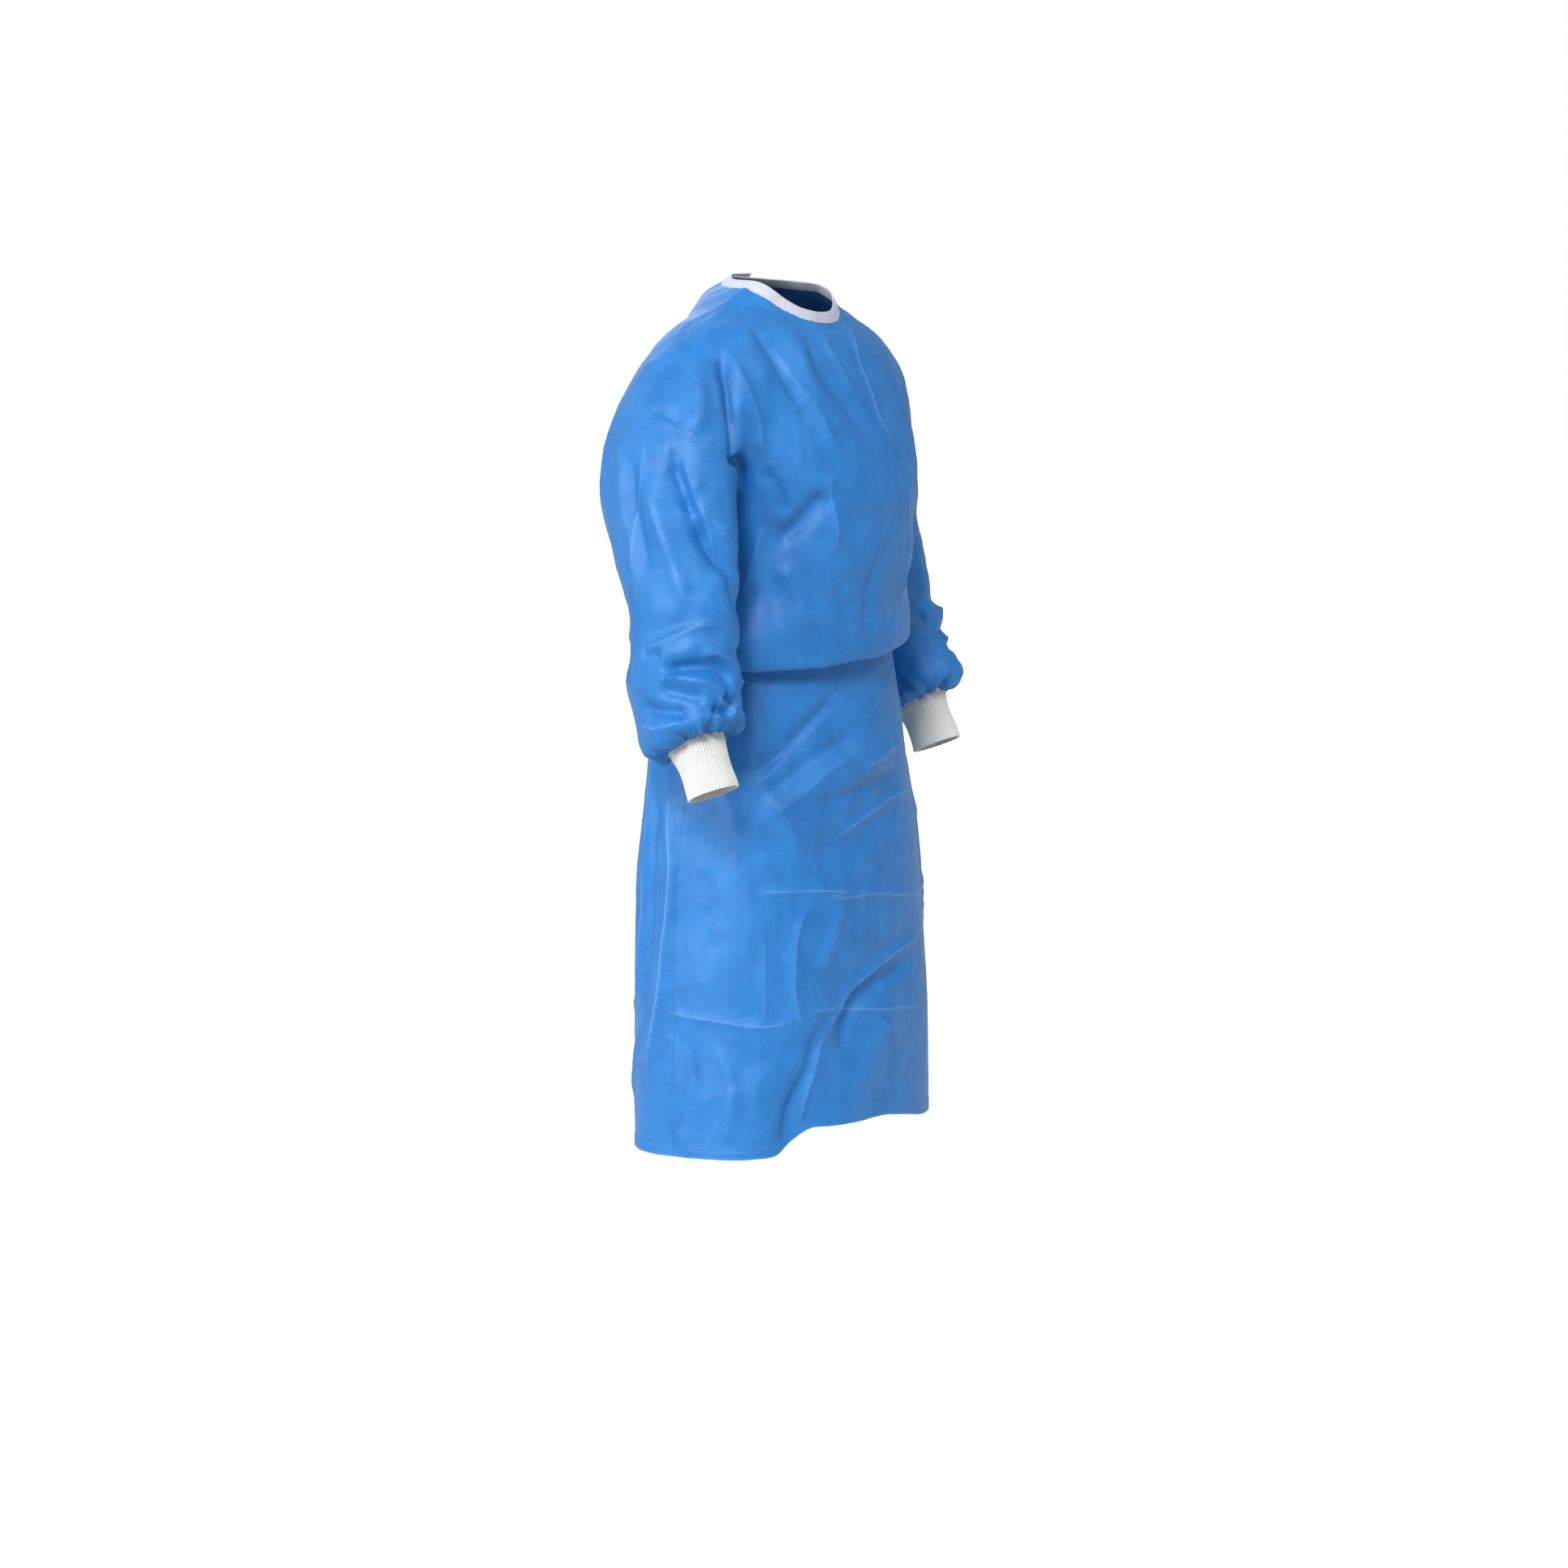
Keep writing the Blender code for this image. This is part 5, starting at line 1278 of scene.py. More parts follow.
def shell(name, points, thickness, loop, flip, marks):
    """A closed mesh: the grid outside, the same grid set in, and rims between them."""
    rows, columns = points.shape[:2]
    count = rows * columns
    inner = points - grid_normals(points, loop, flip) * np.asarray(thickness)[..., None]
    skin = grid_faces(rows, columns, loop)
    faces = [skin, skin[:, ::-1] + count]
    first, last = np.arange(columns), (rows - 1) * columns + np.arange(columns)
    if loop:
        edges = [np.append(first, first[0]), np.append(last, last[0])[::-1]]
    else:
        right, left = np.arange(rows) * columns + columns - 1, np.arange(rows) * columns
        edges = [np.concatenate([first, right[1:], last[::-1][1:], left[::-1][1:]])]
    for edge in edges:
        a, b = edge[:-1], edge[1:]
        faces.append(np.stack([b, a, count + a, count + b], -1))
    faces = np.concatenate(faces)
    if flip:
        faces = faces[:, ::-1]
    both = np.concatenate([points.reshape(-1, 3), inner.reshape(-1, 3)])
    flat = np.concatenate([distances(points).reshape(-1, 2)] * 2)
    marks = {key: np.concatenate([values.ravel()] * 2) for key, values in marks.items()}
    return closed_mesh(name, both, faces, flat, marks)


def no_marks(shape):
    """The named values of a piece that has no pressed lines and no seams."""
    return {"pale": np.zeros(shape), "off": np.ones(shape), "seam": np.ones(shape)}


RIM_ANGLE = 75                     # degrees, past which two faces meet in an edge


def closed_mesh(name, points, faces, flat, marks):
    """A smooth mesh of four-sided faces with a map in metres and named values at its points."""
    mesh = bpy.data.meshes.new(name)
    mesh.vertices.add(len(points))
    mesh.vertices.foreach_set("co", points.astype(np.float32).ravel())
    mesh.loops.add(faces.size)
    mesh.loops.foreach_set("vertex_index", faces.astype(np.int32).ravel())
    mesh.polygons.add(len(faces))
    mesh.polygons.foreach_set("loop_start", np.arange(0, faces.size, 4, dtype=np.int32))
    mesh.update(calc_edges=True)
    mesh.validate()
    mesh.shade_smooth()
    mesh.set_sharp_from_angle(angle=np.radians(RIM_ANGLE))
    layer = mesh.uv_layers.new(name="cloth")
    layer.uv.foreach_set("vector", flat[faces.ravel()].astype(np.float32).ravel())
    for key, values in marks.items():
        made = mesh.attributes.new(key, "FLOAT", "POINT")
        made.data.foreach_set("value", values.astype(np.float32))
    thing = bpy.data.objects.new(name, mesh)
    bpy.context.scene.collection.objects.link(thing)
    return thing


pieces = {}
for name, (points, pale, off) in formed.items():
    fine = fines[name]
    thickness = np.full(points.shape[:2], CLOTH_THICKNESS)
    seam = np.minimum(fine.from_left, fine.from_right) if name == "front" else fine.from_left
    if name.startswith("sleeve"):
        seam = fine.from_start
    else:
        edge = fine.from_start if name == "front" else np.minimum(fine.from_start, fine.from_right)
        hem = 1 - ease(edge, HEM_WIDTH, HEM_WIDTH + 0.001)
        thickness = CLOTH_THICKNESS + (HEM_THICKNESS - CLOTH_THICKNESS) * hem
        # Painted paler along the hem's fold, partly wear and partly painted highlight.
        pale = np.where(edge < HEM_PALE, 0.9, pale)
        off = np.where(edge < HEM_PALE, edge * 0.8, off)
    pieces[name] = shell("cloth_" + name, points, thickness, name.startswith("sleeve"), flips[name],
                         {"pale": pale, "off": off, "seam": seam})
    print(pieces[name].name, len(pieces[name].data.polygons), "faces")

# %% [markdown]
# The cuffs are knitted tubes that the wearer's gloves go over. Their ribs run along the
# arm, and the knit draws in a little between the two ends.

# %% The knitted cuffs
RIBS = 56
RIB_HEIGHT = 0.0012
KNIT_THICKNESS = 0.0017

for side in SIDES:
    coarse = cuff_grid(side)
    run = run_of(coarse)
    at = np.linspace(0, run[-1], 40)
    fine = through(coarse, run, at)
    around = np.concatenate([fine[:, -2:], fine, fine[:, :3]], 1).transpose(1, 0, 2)
    columns = np.linspace(0, coarse.shape[1], RIBS * 6 + 1)[:-1]
    fine = through(around, np.arange(-2.0, coarse.shape[1] + 3), columns).transpose(1, 0, 2)
    out = grid_normals(fine, True, side == "left")
    rib = np.cos(np.linspace(0, 2 * np.pi * RIBS, len(columns) + 1)[:-1])
    depth = RIB_HEIGHT / 2 * (np.sign(rib) * np.abs(rib) ** 0.7 - 1)[None, :]
    depth = depth - 0.0008 * np.exp(-(((at - 0.004) / 0.0018) ** 2))[:, None]
    depth = depth + 0.0010 * lattice(fine, 0.020, 4) - 0.0012 * np.sin(np.pi * at / at[-1])[:, None]
    points = fine + out * depth[..., None]
    pieces["cuff_" + side] = shell(
        "knit_cuff_" + side, points, np.full(points.shape[:2], KNIT_THICKNESS), True, side == "left",
        no_marks(points.shape[:2]))
    print(pieces["cuff_" + side].name, "has", RIBS, "ribs")

# %% [markdown]
# The neck is bound with a folded tape. On the real gown it takes in the raw edge of the
# cloth and is sewn through. Here it is a closed tube of an oval section, swept along the
# edge of the front and backs, a little fuller at its fold and drawn in on its sewing.

# %% The binding of the neck
BINDING_WIDTH = 0.0135
BINDING_THICKNESS = 0.0023
BINDING_LAP = 0.0022               # how far the tape comes down over the cloth
NECK_STEPS = 300
Stand = namedtuple("Stand", "angle share")
BINDING_STANDS = (                 # it stands up at the throat and lies flatter at the nape
    Stand(0, 0.15), Stand(50, 0.7), Stand(90, 0.9), Stand(130, 0.7), Stand(180, 0.1), Stand(270, 0.1),
    Stand(360, 0.15),
)


def neck_line():
    """The top edge of the backs and the front, from the inner back round to the outer one."""
    lines = []
    for name in ("back_left", "front", "back_right"):
        fine, points = fines[name], formed[name][0]
        last = len(grids[name][0]) - 1
        end = last - SHOULDER_COLUMNS if name == "front" else last
        part = (fine.column >= SHOULDER_COLUMNS) & (fine.column <= end)
        line = np.concatenate([points[-1][part], fine.out[-1][part]], -1)
        lines.append(line[::-1] if name == "back_left" else line)
    return np.concatenate(lines)


line = neck_line()
run = run_of(line[:, :3])
keep = np.concatenate([[True], np.diff(run) > 5e-4])
line, run = line[keep], run[keep]
at = np.linspace(0, run[-1], NECK_STEPS)
line = np.stack([np.interp(at, run, line[:, k]) for k in range(6)], -1)
for _ in range(30):
    line[1:-1] = (line[:-2] + 2 * line[1:-1] + line[2:]) / 4
edge, out = line[:, :3], unit(line[:, 3:])
rise = unit(np.cross(np.gradient(edge, axis=0), out))
stand = by_angle(BINDING_STANDS, angle_of(edge), "share")[:, None]
rise = unit(rise * np.sign(rise[:, 2:]) + stand * np.array([0, 0, 1.0]))
out = unit(out - rise * (out * rise).sum(-1, keepdims=True))
print("the neck's edge is", round(float(run[-1]), 3), "m round")


# %% Sweep a flat section along a line
def swept(name, middles, wide, thick, section):
    """A closed tube: the section's points (across, out) along the middles, with its ends shut."""
    section = np.asarray(section)
    count, ring = len(middles), section.shape[-2]
    if section.ndim == 2:
        section = np.broadcast_to(section, (count, ring, 2))
    points = middles[:, None] + wide[:, None] * section[..., :1] + thick[:, None] * section[..., 1:]
    faces = grid_faces(count, ring, True)
    middle = len(middles) // 2
    turn = np.linalg.det([middles[middle + 1] - middles[middle], wide[middle], thick[middle]])
    if turn < 0:
        faces = faces[:, ::-1]
    ends = []
    for k in range(ring // 2 - 1):
        quad = np.array([k, k + 1, ring - 2 - k, ring - 1 - k])
        near = quad if turn > 0 else quad[::-1]
        ends += [near[::-1], near + (count - 1) * ring]
    down = np.repeat(run_of(middles)[:, None], ring, 1)
    around = np.repeat(section[:, :, 0].mean(0)[None], count, 0)
    flat = np.stack([around, down], -1).reshape(-1, 2)
    faces = np.concatenate([faces, np.array(ends)])
    return closed_mesh(name, points.reshape(-1, 3), faces, flat, no_marks(count * ring))


def tape_section(width, thickness, points=24, power=0.45, pinch=0.0, pinch_at=0.0):
    """A rounded flat section, which may be drawn in along a line of sewing."""
    turn = (np.arange(points) + 0.5) / points * 2 * np.pi
    across = np.sign(np.cos(turn)) * np.abs(np.cos(turn)) ** power * width / 2
    out = np.sign(np.sin(turn)) * np.abs(np.sin(turn)) ** power * thickness / 2
    out *= 1 - pinch * np.exp(-(((across - pinch_at) / 0.0012) ** 2))
    return np.stack([across, out], -1)


full_width = BINDING_WIDTH + BINDING_LAP
sewing_at = -full_width / 2 + 0.0022
base = tape_section(full_width, BINDING_THICKNESS, 32, 0.5, 0.45, sewing_at)
ripple = waves(np.linspace(0, 360, NECK_STEPS), (61, 83, 47), 2.2) * 0.00035
section = np.repeat(base[None], NECK_STEPS, 0)
section[..., 1] += ripple[:, None] * ease(-section[..., 0], -0.004, full_width / 2)
middles = edge - out * CLOTH_THICKNESS / 2 + rise * (full_width / 2 - BINDING_LAP + 0.0011)
pieces["neck_binding"] = swept("neck_tape", middles, rise, out, section)
sewing_line = middles + rise * sewing_at
print("neck_tape", len(pieces["neck_binding"].data.polygons), "faces")

# %% [markdown]
# The waist tie goes once round under the bodice and is knotted at the back of the left
# hip, where nothing of it shows in front. A plain overhand knot is modelled as one small
# bulged form with the turns of the tape pressed into it, and its two ends hang down.

# %% The waist tie
TIE_WIDTH, TIE_THICKNESS, TIE_STAND = 0.016, 0.0012, 0.0034
KNOT_ANGLE, KNOT_WIDTH, KNOT_HEIGHT, KNOT_DEPTH = 338.0, 0.026, 0.022, 0.0066

turns = np.linspace(KNOT_ANGLE - 360, KNOT_ANGLE, 361)[6:-6]
level = by_angle(WAIST, turns) - 0.001
lap = LAP * ease(turns, 270 - past(-0.41) - 24, 270 - past(-0.41) - 4)
radius = body_radius(turns, level + 0.001) + TIE_STAND + lap
middles = placed(turns, radius, level + 0.0006 * waves(turns, (9, 14), 0.7))
facing = placed(turns, np.ones(len(turns)), 0 * turns)
tilts = 0.06 * waves(turns, (11, 17), 1.9)
up = unit(np.array([0, 0, 1.0]) + facing * tilts[:, None])
facing = unit(facing - up * (facing * up).sum(-1, keepdims=True))
tie_section = tape_section(TIE_WIDTH, TIE_THICKNESS, 24, 0.4)
pieces["waist_tie"] = swept("waist_tape", middles, up, facing, tie_section)
print("waist_tape is", round(float(run_of(middles)[-1]), 3), "m round")

# %% The knot and its ends
middle = float(by_angle(WAIST, KNOT_ANGLE)) - 0.002
share = np.linspace(-1, 1, 41)
bulge = (1 - (0.985 * share) ** 2) ** 0.25
heights = middle - share * KNOT_HEIGHT / 2
reach = float(body_radius(KNOT_ANGLE, middle)) + 0.0062
middles = placed(np.full(41, KNOT_ANGLE), np.full(41, reach), heights)
facing = placed(np.full(41, KNOT_ANGLE), np.ones(41), 0 * heights)
aside = placed(np.full(41, KNOT_ANGLE + 90), np.ones(41), 0 * heights)
turn = (np.arange(48) + 0.5) / 48 * 2 * np.pi
round_across, round_out = np.cos(turn), np.sin(turn)
wrap = np.sin(3.0 * share[:, None] * 2 + round_across[None] * 1.6 + 0.6)
fold = np.sin(9.0 * round_across[None] - 5.0 * share[:, None])
size = 1 + 0.10 * wrap + 0.045 * fold * (1 - share[:, None] ** 2)
section = np.stack([
    np.sign(round_across) * np.abs(round_across) ** 0.75 * KNOT_WIDTH / 2 * bulge[:, None] * size * 0.93,
    np.sign(round_out) * np.abs(round_out) ** 0.75 * KNOT_DEPTH / 2 * bulge[:, None] * size,
], -1)
pieces["tie_knot"] = swept("waist_knot", middles, aside, facing, section)

for name, lean, length in (("tie_end_long", +3.5, 0.150), ("tie_end_short", -3.5, 0.120)):
    share = np.linspace(0, 1, 90)
    z = middle - KNOT_HEIGHT / 2 + 0.002 - (length + 0.002) * share
    angle = KNOT_ANGLE + lean * (1 + 1.2 * share) + 0.5 * np.sin(share * 5.0 + lean)
    reach = body_radius(angle, z) + 0.0056 + 0.0012 * np.sin(share * 7.0 + lean) * share
    middles = placed(angle, reach, z)
    facing = placed(angle, np.ones(90), 0 * z)
    aside = unit(np.cross(np.gradient(middles, axis=0), facing))
    twist = 0.35 * np.sin(share * 3.4 + lean)[:, None]
    facing = unit(np.cross(aside, np.gradient(middles, axis=0)))
    facing *= np.sign((facing * placed(angle, np.ones(90), 0 * z)).sum(1, keepdims=True))
    aside, facing = unit(aside + facing * twist), unit(facing - aside * twist)
    narrow = 0.62 + 0.38 * ease(share, 0, 0.14)
    section = tie_section[None] * np.stack([narrow, 0 * narrow + 1], -1)[:, None]
    pieces[name] = swept("waist_" + name, middles, aside, facing, section)
    print(pieces[name].name, "is", round(float(run_of(middles)[-1]), 3), "m long")

# %% [markdown]
# Thread shows on the real gown as short stitches beside the seams and hems. A stitch is a
# small rounded bar that dips into the cloth at both ends. All the stitches of a line are
# one piece, made by a loop, because a thread is one thing.

# %% Stitches
STITCH_LENGTH, STITCH_GAP, STITCH_THICKNESS = 0.0024, 0.0011, 0.00045


def stitches(name, line, out, lift=0.0):
    """A row of stitches along a line on the cloth."""
    run = run_of(line)
    pitch = STITCH_LENGTH + STITCH_GAP
    starts = np.arange(0.001, run[-1] - pitch, pitch)
    across = unit(np.cross(np.gradient(line, axis=0), out))
    share = np.linspace(0, 1, 5)
    at = starts[:, None] + share[None] * STITCH_LENGTH
    middle, side, up = (
        np.stack([np.interp(at, run, rows[:, k]) for k in range(3)], -1) for rows in (line, across, out)
    )
    arch = np.sin(np.pi * share) ** 0.6
    turn = np.arange(6) / 6 * 2 * np.pi
    thick = STITCH_THICKNESS * (0.35 + 0.65 * arch)
    ring = (
        side[..., None, :] * (np.cos(turn)[:, None] * thick[:, None, None])
        + up[..., None, :] * (np.sin(turn)[:, None] * thick[:, None, None] * 0.8)
    )
    centre = middle + up * (lift + 0.0006 * arch - 0.0003)[..., None]
    points = (centre[..., None, :] + ring).reshape(-1, 3)
    one = grid_faces(5, 6, True)
    caps = np.array([[0, 1, 2, 3], [0, 3, 4, 5], [27, 26, 25, 24], [29, 28, 27, 24]])
    faces = np.concatenate([np.concatenate([one, caps[:, ::-1]]) + 30 * k for k in range(len(starts))])
    mid = np.linalg.det([line[1] - line[0], across[0], out[0]])
    faces = faces if mid > 0 else faces[:, ::-1]
    return closed_mesh(name, points, faces, np.zeros((len(points), 2)), no_marks(len(points)))


def row_of(name, select):
    """A line of points on a formed piece, with the directions out of the cloth there."""
    points = formed[name][0]
    normals = grid_normals(points, name.startswith("sleeve"), flips[name])
    return select(points), select(normals)


HEM_SEWING = HEM_WIDTH - 0.0016    # from the edge
ARMHOLE_SEWING = 0.0046            # from the seam
threads = {"binding_thread": stitches("binding_thread", sewing_line + out * BINDING_THICKNESS * 0.3, out)}
for name in ("front", "back_right", "back_left"):
    fine = fines[name]
    k = int(np.argmin(np.abs(fine.from_start[:, 0] - HEM_SEWING)))
    threads["hem_thread_" + name] = stitches("hem_thread_" + name, *row_of(name, lambda rows: rows[k]))
for side in SIDES:
    fine = fines["sleeve_" + side]
    k = int(np.argmin(np.abs(fine.from_start[:, 0] - ARMHOLE_SEWING)))
    ring = row_of("sleeve_" + side, lambda rows: np.concatenate([rows[k], rows[k, :1]]))
    threads["armhole_thread_" + side] = stitches("armhole_thread_" + side, *ring)
for name in ("back_right", "back_left"):
    fine = fines[name]
    k = int(np.argmin(np.abs(fine.from_right[0] - HEM_SEWING)))
    threads["edge_thread_" + name] = stitches("edge_thread_" + name, *row_of(name, lambda rows: rows[:, k]))
print("rows of stitches:", ", ".join(threads))

# %% [markdown]
# The cloth is a nonwoven: a felt of fine plastic threads, melted together by a press at
# tiny points in rows. It is matt with a broad soft sheen and a little uneven in tone. Where
# it has been creased its colour is painted paler, partly as wear and partly as a painted
# highlight. Two effects are used by more than one finish, so each is a node group: the
# press points of the felt, and the cloudy unevenness of dyed threads.

# %% Node helpers
def new_group(name, inputs, outputs):
    """An empty node group with named inputs (with their values) and outputs."""
    group = bpy.data.node_groups.new(name, "ShaderNodeTree")
    for label, value in inputs.items():
        kind = "NodeSocketVector" if label == "Map" else "NodeSocketFloat"
        socket = group.interface.new_socket(name=label, in_out="INPUT", socket_type=kind)
        if label != "Map":
            socket.default_value = value
    for label in outputs:
        group.interface.new_socket(name=label, in_out="OUTPUT", socket_type="NodeSocketFloat")
    return group, group.nodes.new("NodeGroupInput"), group.nodes.new("NodeGroupOutput")


def maths(tree, operation, a, b=None, c=None, clamp=False):
    node = tree.nodes.new("ShaderNodeMath")
    node.operation = operation
    node.use_clamp = clamp
    for socket, value in zip(node.inputs, (a, b, c)):
        if isinstance(value, (int, float)):
            socket.default_value = value
        elif value is not None:
            tree.links.new(value, socket)
    return node.outputs[0]


def noise(tree, vector, scale, detail=3.0, roughness=0.5, distortion=0.0):
    node = tree.nodes.new("ShaderNodeTexNoise")
    tree.links.new(vector, node.inputs["Vector"])
    node.inputs["Detail"].default_value = detail
    node.inputs["Roughness"].default_value = roughness
    node.inputs["Distortion"].default_value = distortion
    if isinstance(scale, (int, float)):
        node.inputs["Scale"].default_value = scale
    else:
        tree.links.new(scale, node.inputs["Scale"])
    return node.outputs["Fac"]


print("helpers ready")

# %% The press points of the felt
def make_press_points():
    """Small oval dents in staggered rows. Points per metre, and how soft they are."""
    inputs = {"Map": None, "Per Metre": 520.0, "Softness": 0.5}
    group, given, made = new_group("press_points", inputs, ["Dents"])
    scaled = group.nodes.new("ShaderNodeVectorMath")
    scaled.operation = "SCALE"
    group.links.new(given.outputs["Map"], scaled.inputs[0])
    group.links.new(given.outputs["Per Metre"], scaled.inputs["Scale"])
    split = group.nodes.new("ShaderNodeSeparateXYZ")
    group.links.new(scaled.outputs[0], split.inputs[0])
    u, v = split.outputs[0], split.outputs[1]
    row = maths(group, "FLOOR", v)
    odd = maths(group, "MULTIPLY", maths(group, "MODULO", row, 2.0), 0.5)
    across = maths(group, "SUBTRACT", maths(group, "FRACT", maths(group, "ADD", u, odd)), 0.5)
    down = maths(group, "SUBTRACT", maths(group, "FRACT", v), 0.5)
    across = maths(group, "MULTIPLY", across, 0.8)
    far = maths(group, "SQRT", maths(group, "ADD", maths(group, "POWER", across, 2.0),
                                     maths(group, "POWER", maths(group, "MULTIPLY", down, 1.3), 2.0)))
    edge = maths(group, "DIVIDE", maths(group, "SUBTRACT", 0.30, far), maths(group, "MULTIPLY",
                 given.outputs["Softness"], 0.4), clamp=True)
    group.links.new(edge, made.inputs["Dents"])
    return group


def make_cloudiness():
    """Slow and fine unevenness of tone, round 0.5."""
    group, given, made = new_group("cloudiness", {"Map": None, "Size": 0.03}, ["Tone", "Fuzz"])
    scale = maths(group, "DIVIDE", 1.0, given.outputs["Size"])
    slow = noise(group, given.outputs["Map"], scale, 4.0, 0.6, 0.4)
    fine = noise(group, given.outputs["Map"], maths(group, "MULTIPLY", scale, 14.0), 2.0, 0.6)
    tone = maths(group, "ADD", maths(group, "MULTIPLY", slow, 0.7), maths(group, "MULTIPLY", fine, 0.3))
    group.links.new(tone, made.inputs["Tone"])
    group.links.new(noise(group, given.outputs["Map"], maths(group, "MULTIPLY", scale, 60.0), 2.0, 0.7),
                    made.inputs["Fuzz"])
    return group


PRESS_POINTS, CLOUDINESS = make_press_points(), make_cloudiness()
print("groups:", PRESS_POINTS.name, CLOUDINESS.name)

# %% [markdown]
# A finish is a plain Principled shader with its constant values set on its own sockets. The
# colour runs from a deep to a light tone by the cloudiness. It is painted paler along creases
# and hems, partly as wear and partly as highlight, and painted darker in the valley of a seam
# as painted shade. The bump holds only what is finer than the mesh.

# %% The finishes
Finish = namedtuple("Finish", "deep light pale_tone roughness sheen points_per_metre bump fuzz")
FINISHES = {
    "cloth": Finish(
        (0.007, 0.122, 0.385), (0.017, 0.195, 0.545), (0.20, 0.40, 0.78), 0.50, 0.02, 520, 0.20, 0.26),
    "binding": Finish(
        (0.38, 0.40, 0.49), (0.56, 0.58, 0.66), (0.62, 0.65, 0.76), 0.75, 0.08, 900, 0.40, 0.50),
    "tie": Finish(
        (0.011, 0.140, 0.430), (0.022, 0.200, 0.560), (0.20, 0.40, 0.78), 0.50, 0.05, 700, 0.22, 0.25),
    "knit": Finish(
        (0.50, 0.51, 0.49), (0.66, 0.66, 0.63), (0.70, 0.70, 0.68), 0.88, 0.12, 1250, 0.14, 0.60),
    "thread": Finish(
        (0.03, 0.16, 0.44), (0.06, 0.21, 0.52), (0.2, 0.4, 0.7), 0.55, 0.10, 1400, 0.10, 0.30),
    "pale_thread": Finish(
        (0.44, 0.48, 0.62), (0.52, 0.57, 0.70), (0.6, 0.64, 0.74), 0.60, 0.10, 1400, 0.10, 0.30),
}


# Pressed lines and the bands beside them are painted paler, partly as wear and partly as painted highlight.
PALE_LINE, PALE_HALO = 0.0012, 0.0045    # half the widths of a pressed line and of the wear beside it
LINE_PALE, HALO_PALE = 0.75, 0.22        # how pale they are
KINK = 3.0                               # how high a pressed line stands, in depths of a press point
SEAM_SHADE_WIDTH = 1 / 700               # m, from the seam
# A seam's darkening is painted shade, standing in for the shade in its valley.
SEAM_SHADE, DENT_SHINE = 0.35, 0.16      # how much darker a seam and how much lighter a dent is
SPECULAR, SHEEN_ROUGHNESS = 0.42, 0.45
BUMP_DISTANCE = 0.0004
CLOUD_SIZE, CLOUD_CONTRAST, CLOUD_START = 0.035, 2.3, -0.65


def mix_colour(tree, share, a, b):
    node = tree.nodes.new("ShaderNodeMix")
    node.data_type = "RGBA"
    tree.links.new(share, node.inputs["Factor"])
    for socket, value in ((node.inputs["A"], a), (node.inputs["B"], b)):
        if isinstance(value, tuple):
            socket.default_value = (*value, 1)
        else:
            tree.links.new(value, socket)
    return node.outputs["Result"]


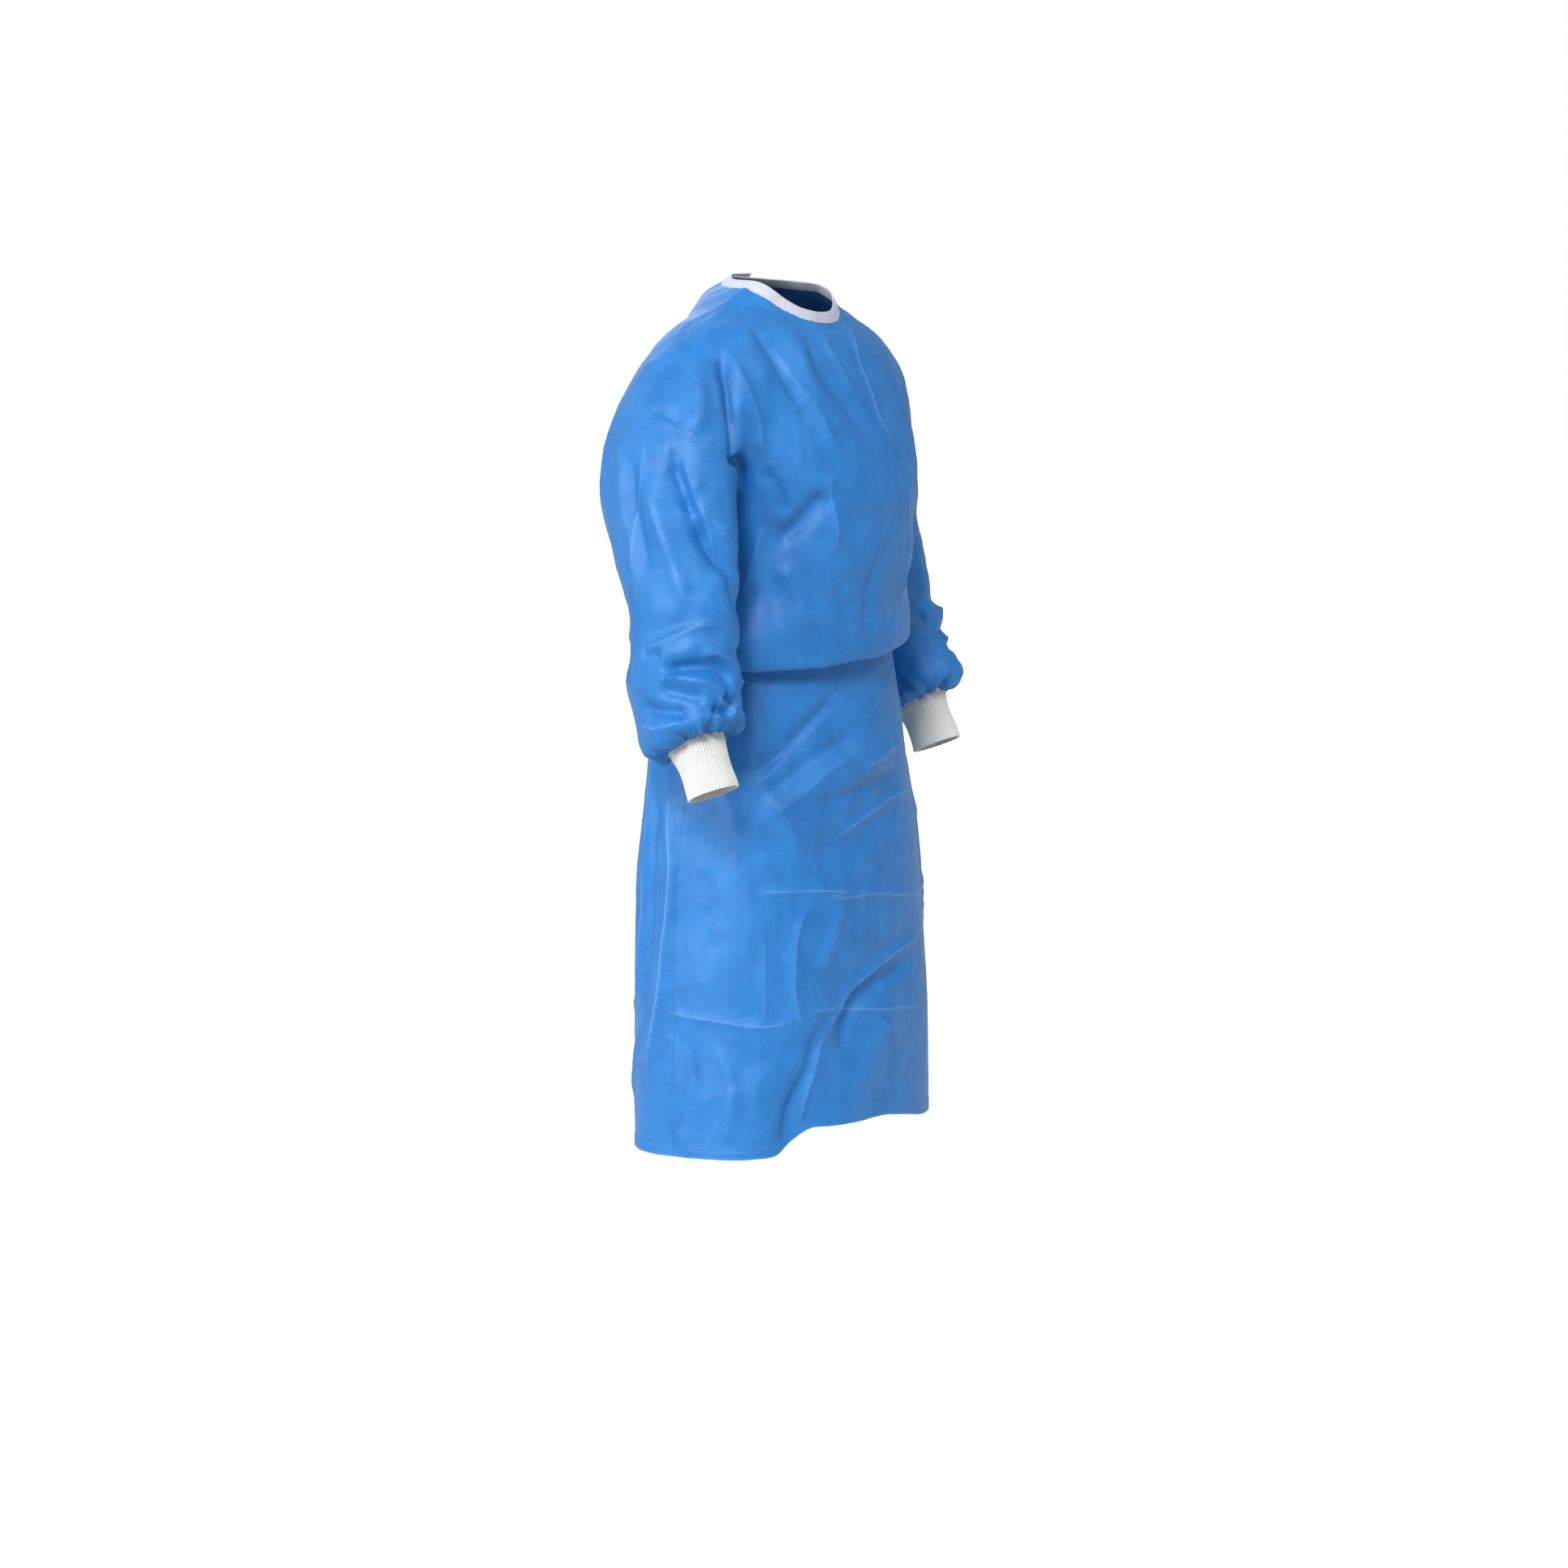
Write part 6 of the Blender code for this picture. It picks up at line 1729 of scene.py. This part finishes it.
def finish_of(name, finish):
    material = bpy.data.materials.new(name)
    material.use_nodes = True
    tree = material.node_tree
    shader = tree.nodes["Principled BSDF"]
    shader.inputs["Roughness"].default_value = finish.roughness
    shader.inputs["Sheen Weight"].default_value = finish.sheen
    shader.inputs["Sheen Roughness"].default_value = SHEEN_ROUGHNESS
    shader.inputs["Specular IOR Level"].default_value = SPECULAR
    place = tree.nodes.new("ShaderNodeUVMap")
    place.uv_map = "cloth"
    position = tree.nodes.new("ShaderNodeTexCoord")
    dents = tree.nodes.new("ShaderNodeGroup")
    dents.node_tree = PRESS_POINTS
    dents.inputs["Per Metre"].default_value = finish.points_per_metre
    tree.links.new(place.outputs["UV"], dents.inputs["Map"])
    clouds = tree.nodes.new("ShaderNodeGroup")
    clouds.node_tree = CLOUDINESS
    clouds.inputs["Size"].default_value = CLOUD_SIZE
    tree.links.new(position.outputs["Object"], clouds.inputs["Map"])
    marks = {}
    for mark in ("pale", "off", "seam"):
        marks[mark] = tree.nodes.new("ShaderNodeAttribute")
        marks[mark].attribute_name = mark
    pale, off, seam = (marks[mark].outputs["Fac"] for mark in ("pale", "off", "seam"))
    tone = maths(tree, "MULTIPLY_ADD", clouds.outputs["Tone"], CLOUD_CONTRAST, CLOUD_START, clamp=True)
    colour = mix_colour(tree, tone, finish.deep, finish.light)
    # Pale lines: painted partly as wear and partly as highlight along creases and hems.
    apart = maths(tree, "ABSOLUTE", off)
    on_line = maths(tree, "MULTIPLY_ADD", apart, -1 / PALE_LINE, 1.0, clamp=True)
    beside = maths(tree, "MULTIPLY_ADD", apart, -1 / PALE_HALO, 1.0, clamp=True)
    spread = maths(tree, "MULTIPLY_ADD", on_line, LINE_PALE, maths(tree, "MULTIPLY", beside, HALO_PALE))
    broken = maths(tree, "MULTIPLY_ADD", clouds.outputs["Fuzz"], 1.3, 0.0)
    wear_and_highlight = maths(tree, "MULTIPLY", maths(tree, "MULTIPLY", pale, spread), broken, clamp=True)
    colour = mix_colour(tree, wear_and_highlight, colour, finish.pale_tone)
    # Painted shade: the colour darkens within a millimetre and a half of a seam, where its valley lies.
    valley = maths(tree, "MULTIPLY_ADD", seam, -1 / SEAM_SHADE_WIDTH, 1.0, clamp=True)
    seam_shade_colour = tuple(c * 0.55 for c in finish.deep)
    colour = mix_colour(tree, maths(tree, "MULTIPLY", valley, SEAM_SHADE), colour, seam_shade_colour)
    pressed = maths(tree, "MULTIPLY", dents.outputs["Dents"], DENT_SHINE)
    colour = mix_colour(tree, pressed, colour, tuple(min(1, c * 1.25 + 0.02) for c in finish.light))
    tree.links.new(colour, shader.inputs["Base Color"])
    fuzz = maths(tree, "MULTIPLY", clouds.outputs["Fuzz"], finish.fuzz)
    height = maths(tree, "SUBTRACT", fuzz, dents.outputs["Dents"])
    pressed_line = maths(tree, "MULTIPLY", maths(tree, "MULTIPLY", pale, beside), KINK)
    height = maths(tree, "ADD", height, pressed_line)
    bump = tree.nodes.new("ShaderNodeBump")
    bump.inputs["Strength"].default_value = finish.bump
    bump.inputs["Distance"].default_value = BUMP_DISTANCE
    tree.links.new(height, bump.inputs["Height"])
    tree.links.new(bump.outputs["Normal"], shader.inputs["Normal"])
    return material


materials = {name: finish_of(name, finish) for name, finish in FINISHES.items()}
print("finishes:", ", ".join(materials))

# %% [markdown]
# Every piece stands for its CAD node and rides on the one body that the gown has.

Cut = namedtuple("Cut", "width length held area rests_on")
SLOTS = {"cuff": "knit", "neck": "binding", "waist": "tie", "tie": "tie"}
for node, piece in pieces.items():
    slot = SLOTS.get(node.split("_")[0], "cloth")
    piece.data.materials.append(materials[slot])
    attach(piece, BODY_NAME)
    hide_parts(node)
for name, thread in threads.items():
    thread.data.materials.append(materials["pale_thread" if name.startswith("binding") else "thread"])
    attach(thread, BODY_NAME)
print("pieces:", len(pieces), "rows of stitches:", len(threads))

# %% [markdown]
# The gown was photographed in a white studio, where light comes from everywhere. A white
# world gives that. Three soft suns light gown and floor evenly, the key from the camera's
# left, and two lamps behind show the edges of the cloth. The floor glows for the camera
# alone, so that no shadow is seen on it and it lends the cloth no light.

# %% Light and floor
def aimed(name, data, azimuth, elevation, distance=0.0):
    """A light aimed at the gown's middle. Azimuth 0 is in front and 90 at its left."""
    thing = bpy.data.objects.new(name, data)
    a, e = np.radians(azimuth), np.radians(elevation)
    way = Vector((np.sin(a) * np.cos(e), -np.cos(a) * np.cos(e), np.sin(e)))
    thing.location = GOWN_MIDDLE + way * distance
    thing.rotation_mode = "QUATERNION"
    thing.rotation_quaternion = (-way).to_track_quat("-Z", "Y")
    bpy.context.scene.collection.objects.link(thing)


def lamp(name, azimuth, elevation, distance, size, watts):
    """A square soft lamp."""
    data = bpy.data.lights.new(name, "AREA")
    data.size = size
    data.energy = watts
    aimed(name, data, azimuth, elevation, distance)


def sun(name, azimuth, elevation, strength, softness):
    """A lamp from far away, so the floor is lit as evenly as the gown."""
    data = bpy.data.lights.new(name, "SUN")
    data.energy = strength
    data.angle = np.radians(softness)
    aimed(name, data, azimuth, elevation)


GOWN_MIDDLE = Vector((0, 0, -0.5))
sun("key", -66, 36, 2.4, 18)
sun("side", -104, 18, 1.5, 22)
sun("fill", 8, 50, 0.6, 30)
lamp("edge_left", 140, 30, 3.4, 1.6, 20)
lamp("edge_right", -165, 30, 3.4, 1.4, 9)

world = bpy.data.worlds.new("white_studio")
world.use_nodes = True
studio = world.node_tree
studio.nodes["Background"].inputs["Color"].default_value = (1, 1, 1, 1)
AROUND, SEEN = 0.38, 1.0           # how bright the walls are as a light, and as they are seen
rays = studio.nodes.new("ShaderNodeLightPath")
strength = maths(studio, "MULTIPLY_ADD", rays.outputs["Is Camera Ray"], SEEN - AROUND, AROUND)
studio.links.new(strength, studio.nodes["Background"].inputs["Strength"])
bpy.context.scene.world = world
bpy.context.scene.view_settings.view_transform = "Standard"

FLOOR_SIZE = 40.0
FLOOR_GLOW = 0.60                  # a white studio's floor is lit until no shadow is seen on it
corners = [(-1, -1), (1, -1), (1, 1), (-1, 1)]
mesh = bpy.data.meshes.new("floor")
mesh.from_pydata([(x * FLOOR_SIZE, y * FLOOR_SIZE, FLOOR) for x, y in corners], [], [(0, 1, 2, 3)])
floor = bpy.data.objects.new("floor", mesh)
bpy.context.scene.collection.objects.link(floor)
paint = bpy.data.materials.new("floor_paint")
paint.use_nodes = True
floor_shader = paint.node_tree.nodes["Principled BSDF"]
floor_shader.inputs["Base Color"].default_value = (0.72, 0.72, 0.72, 1)
floor_shader.inputs["Roughness"].default_value = 0.9
floor_shader.inputs["Specular IOR Level"].default_value = 0.0
floor_shader.inputs["Emission Color"].default_value = (1, 1, 1, 1)
rays = paint.node_tree.nodes.new("ShaderNodeLightPath")
glow = maths(paint.node_tree, "MULTIPLY", rays.outputs["Is Camera Ray"], FLOOR_GLOW)
paint.node_tree.links.new(glow, floor_shader.inputs["Emission Strength"])
mesh.materials.append(paint)
floor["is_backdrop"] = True
print("floor at", FLOOR, "m")

# %% The gown's bounds
VISUAL_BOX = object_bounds()
for axis, low, high in zip("xyz", VISUAL_BOX[0], VISUAL_BOX[1]):
    print(axis, "from", round(low, 4), "to", round(high, 4))
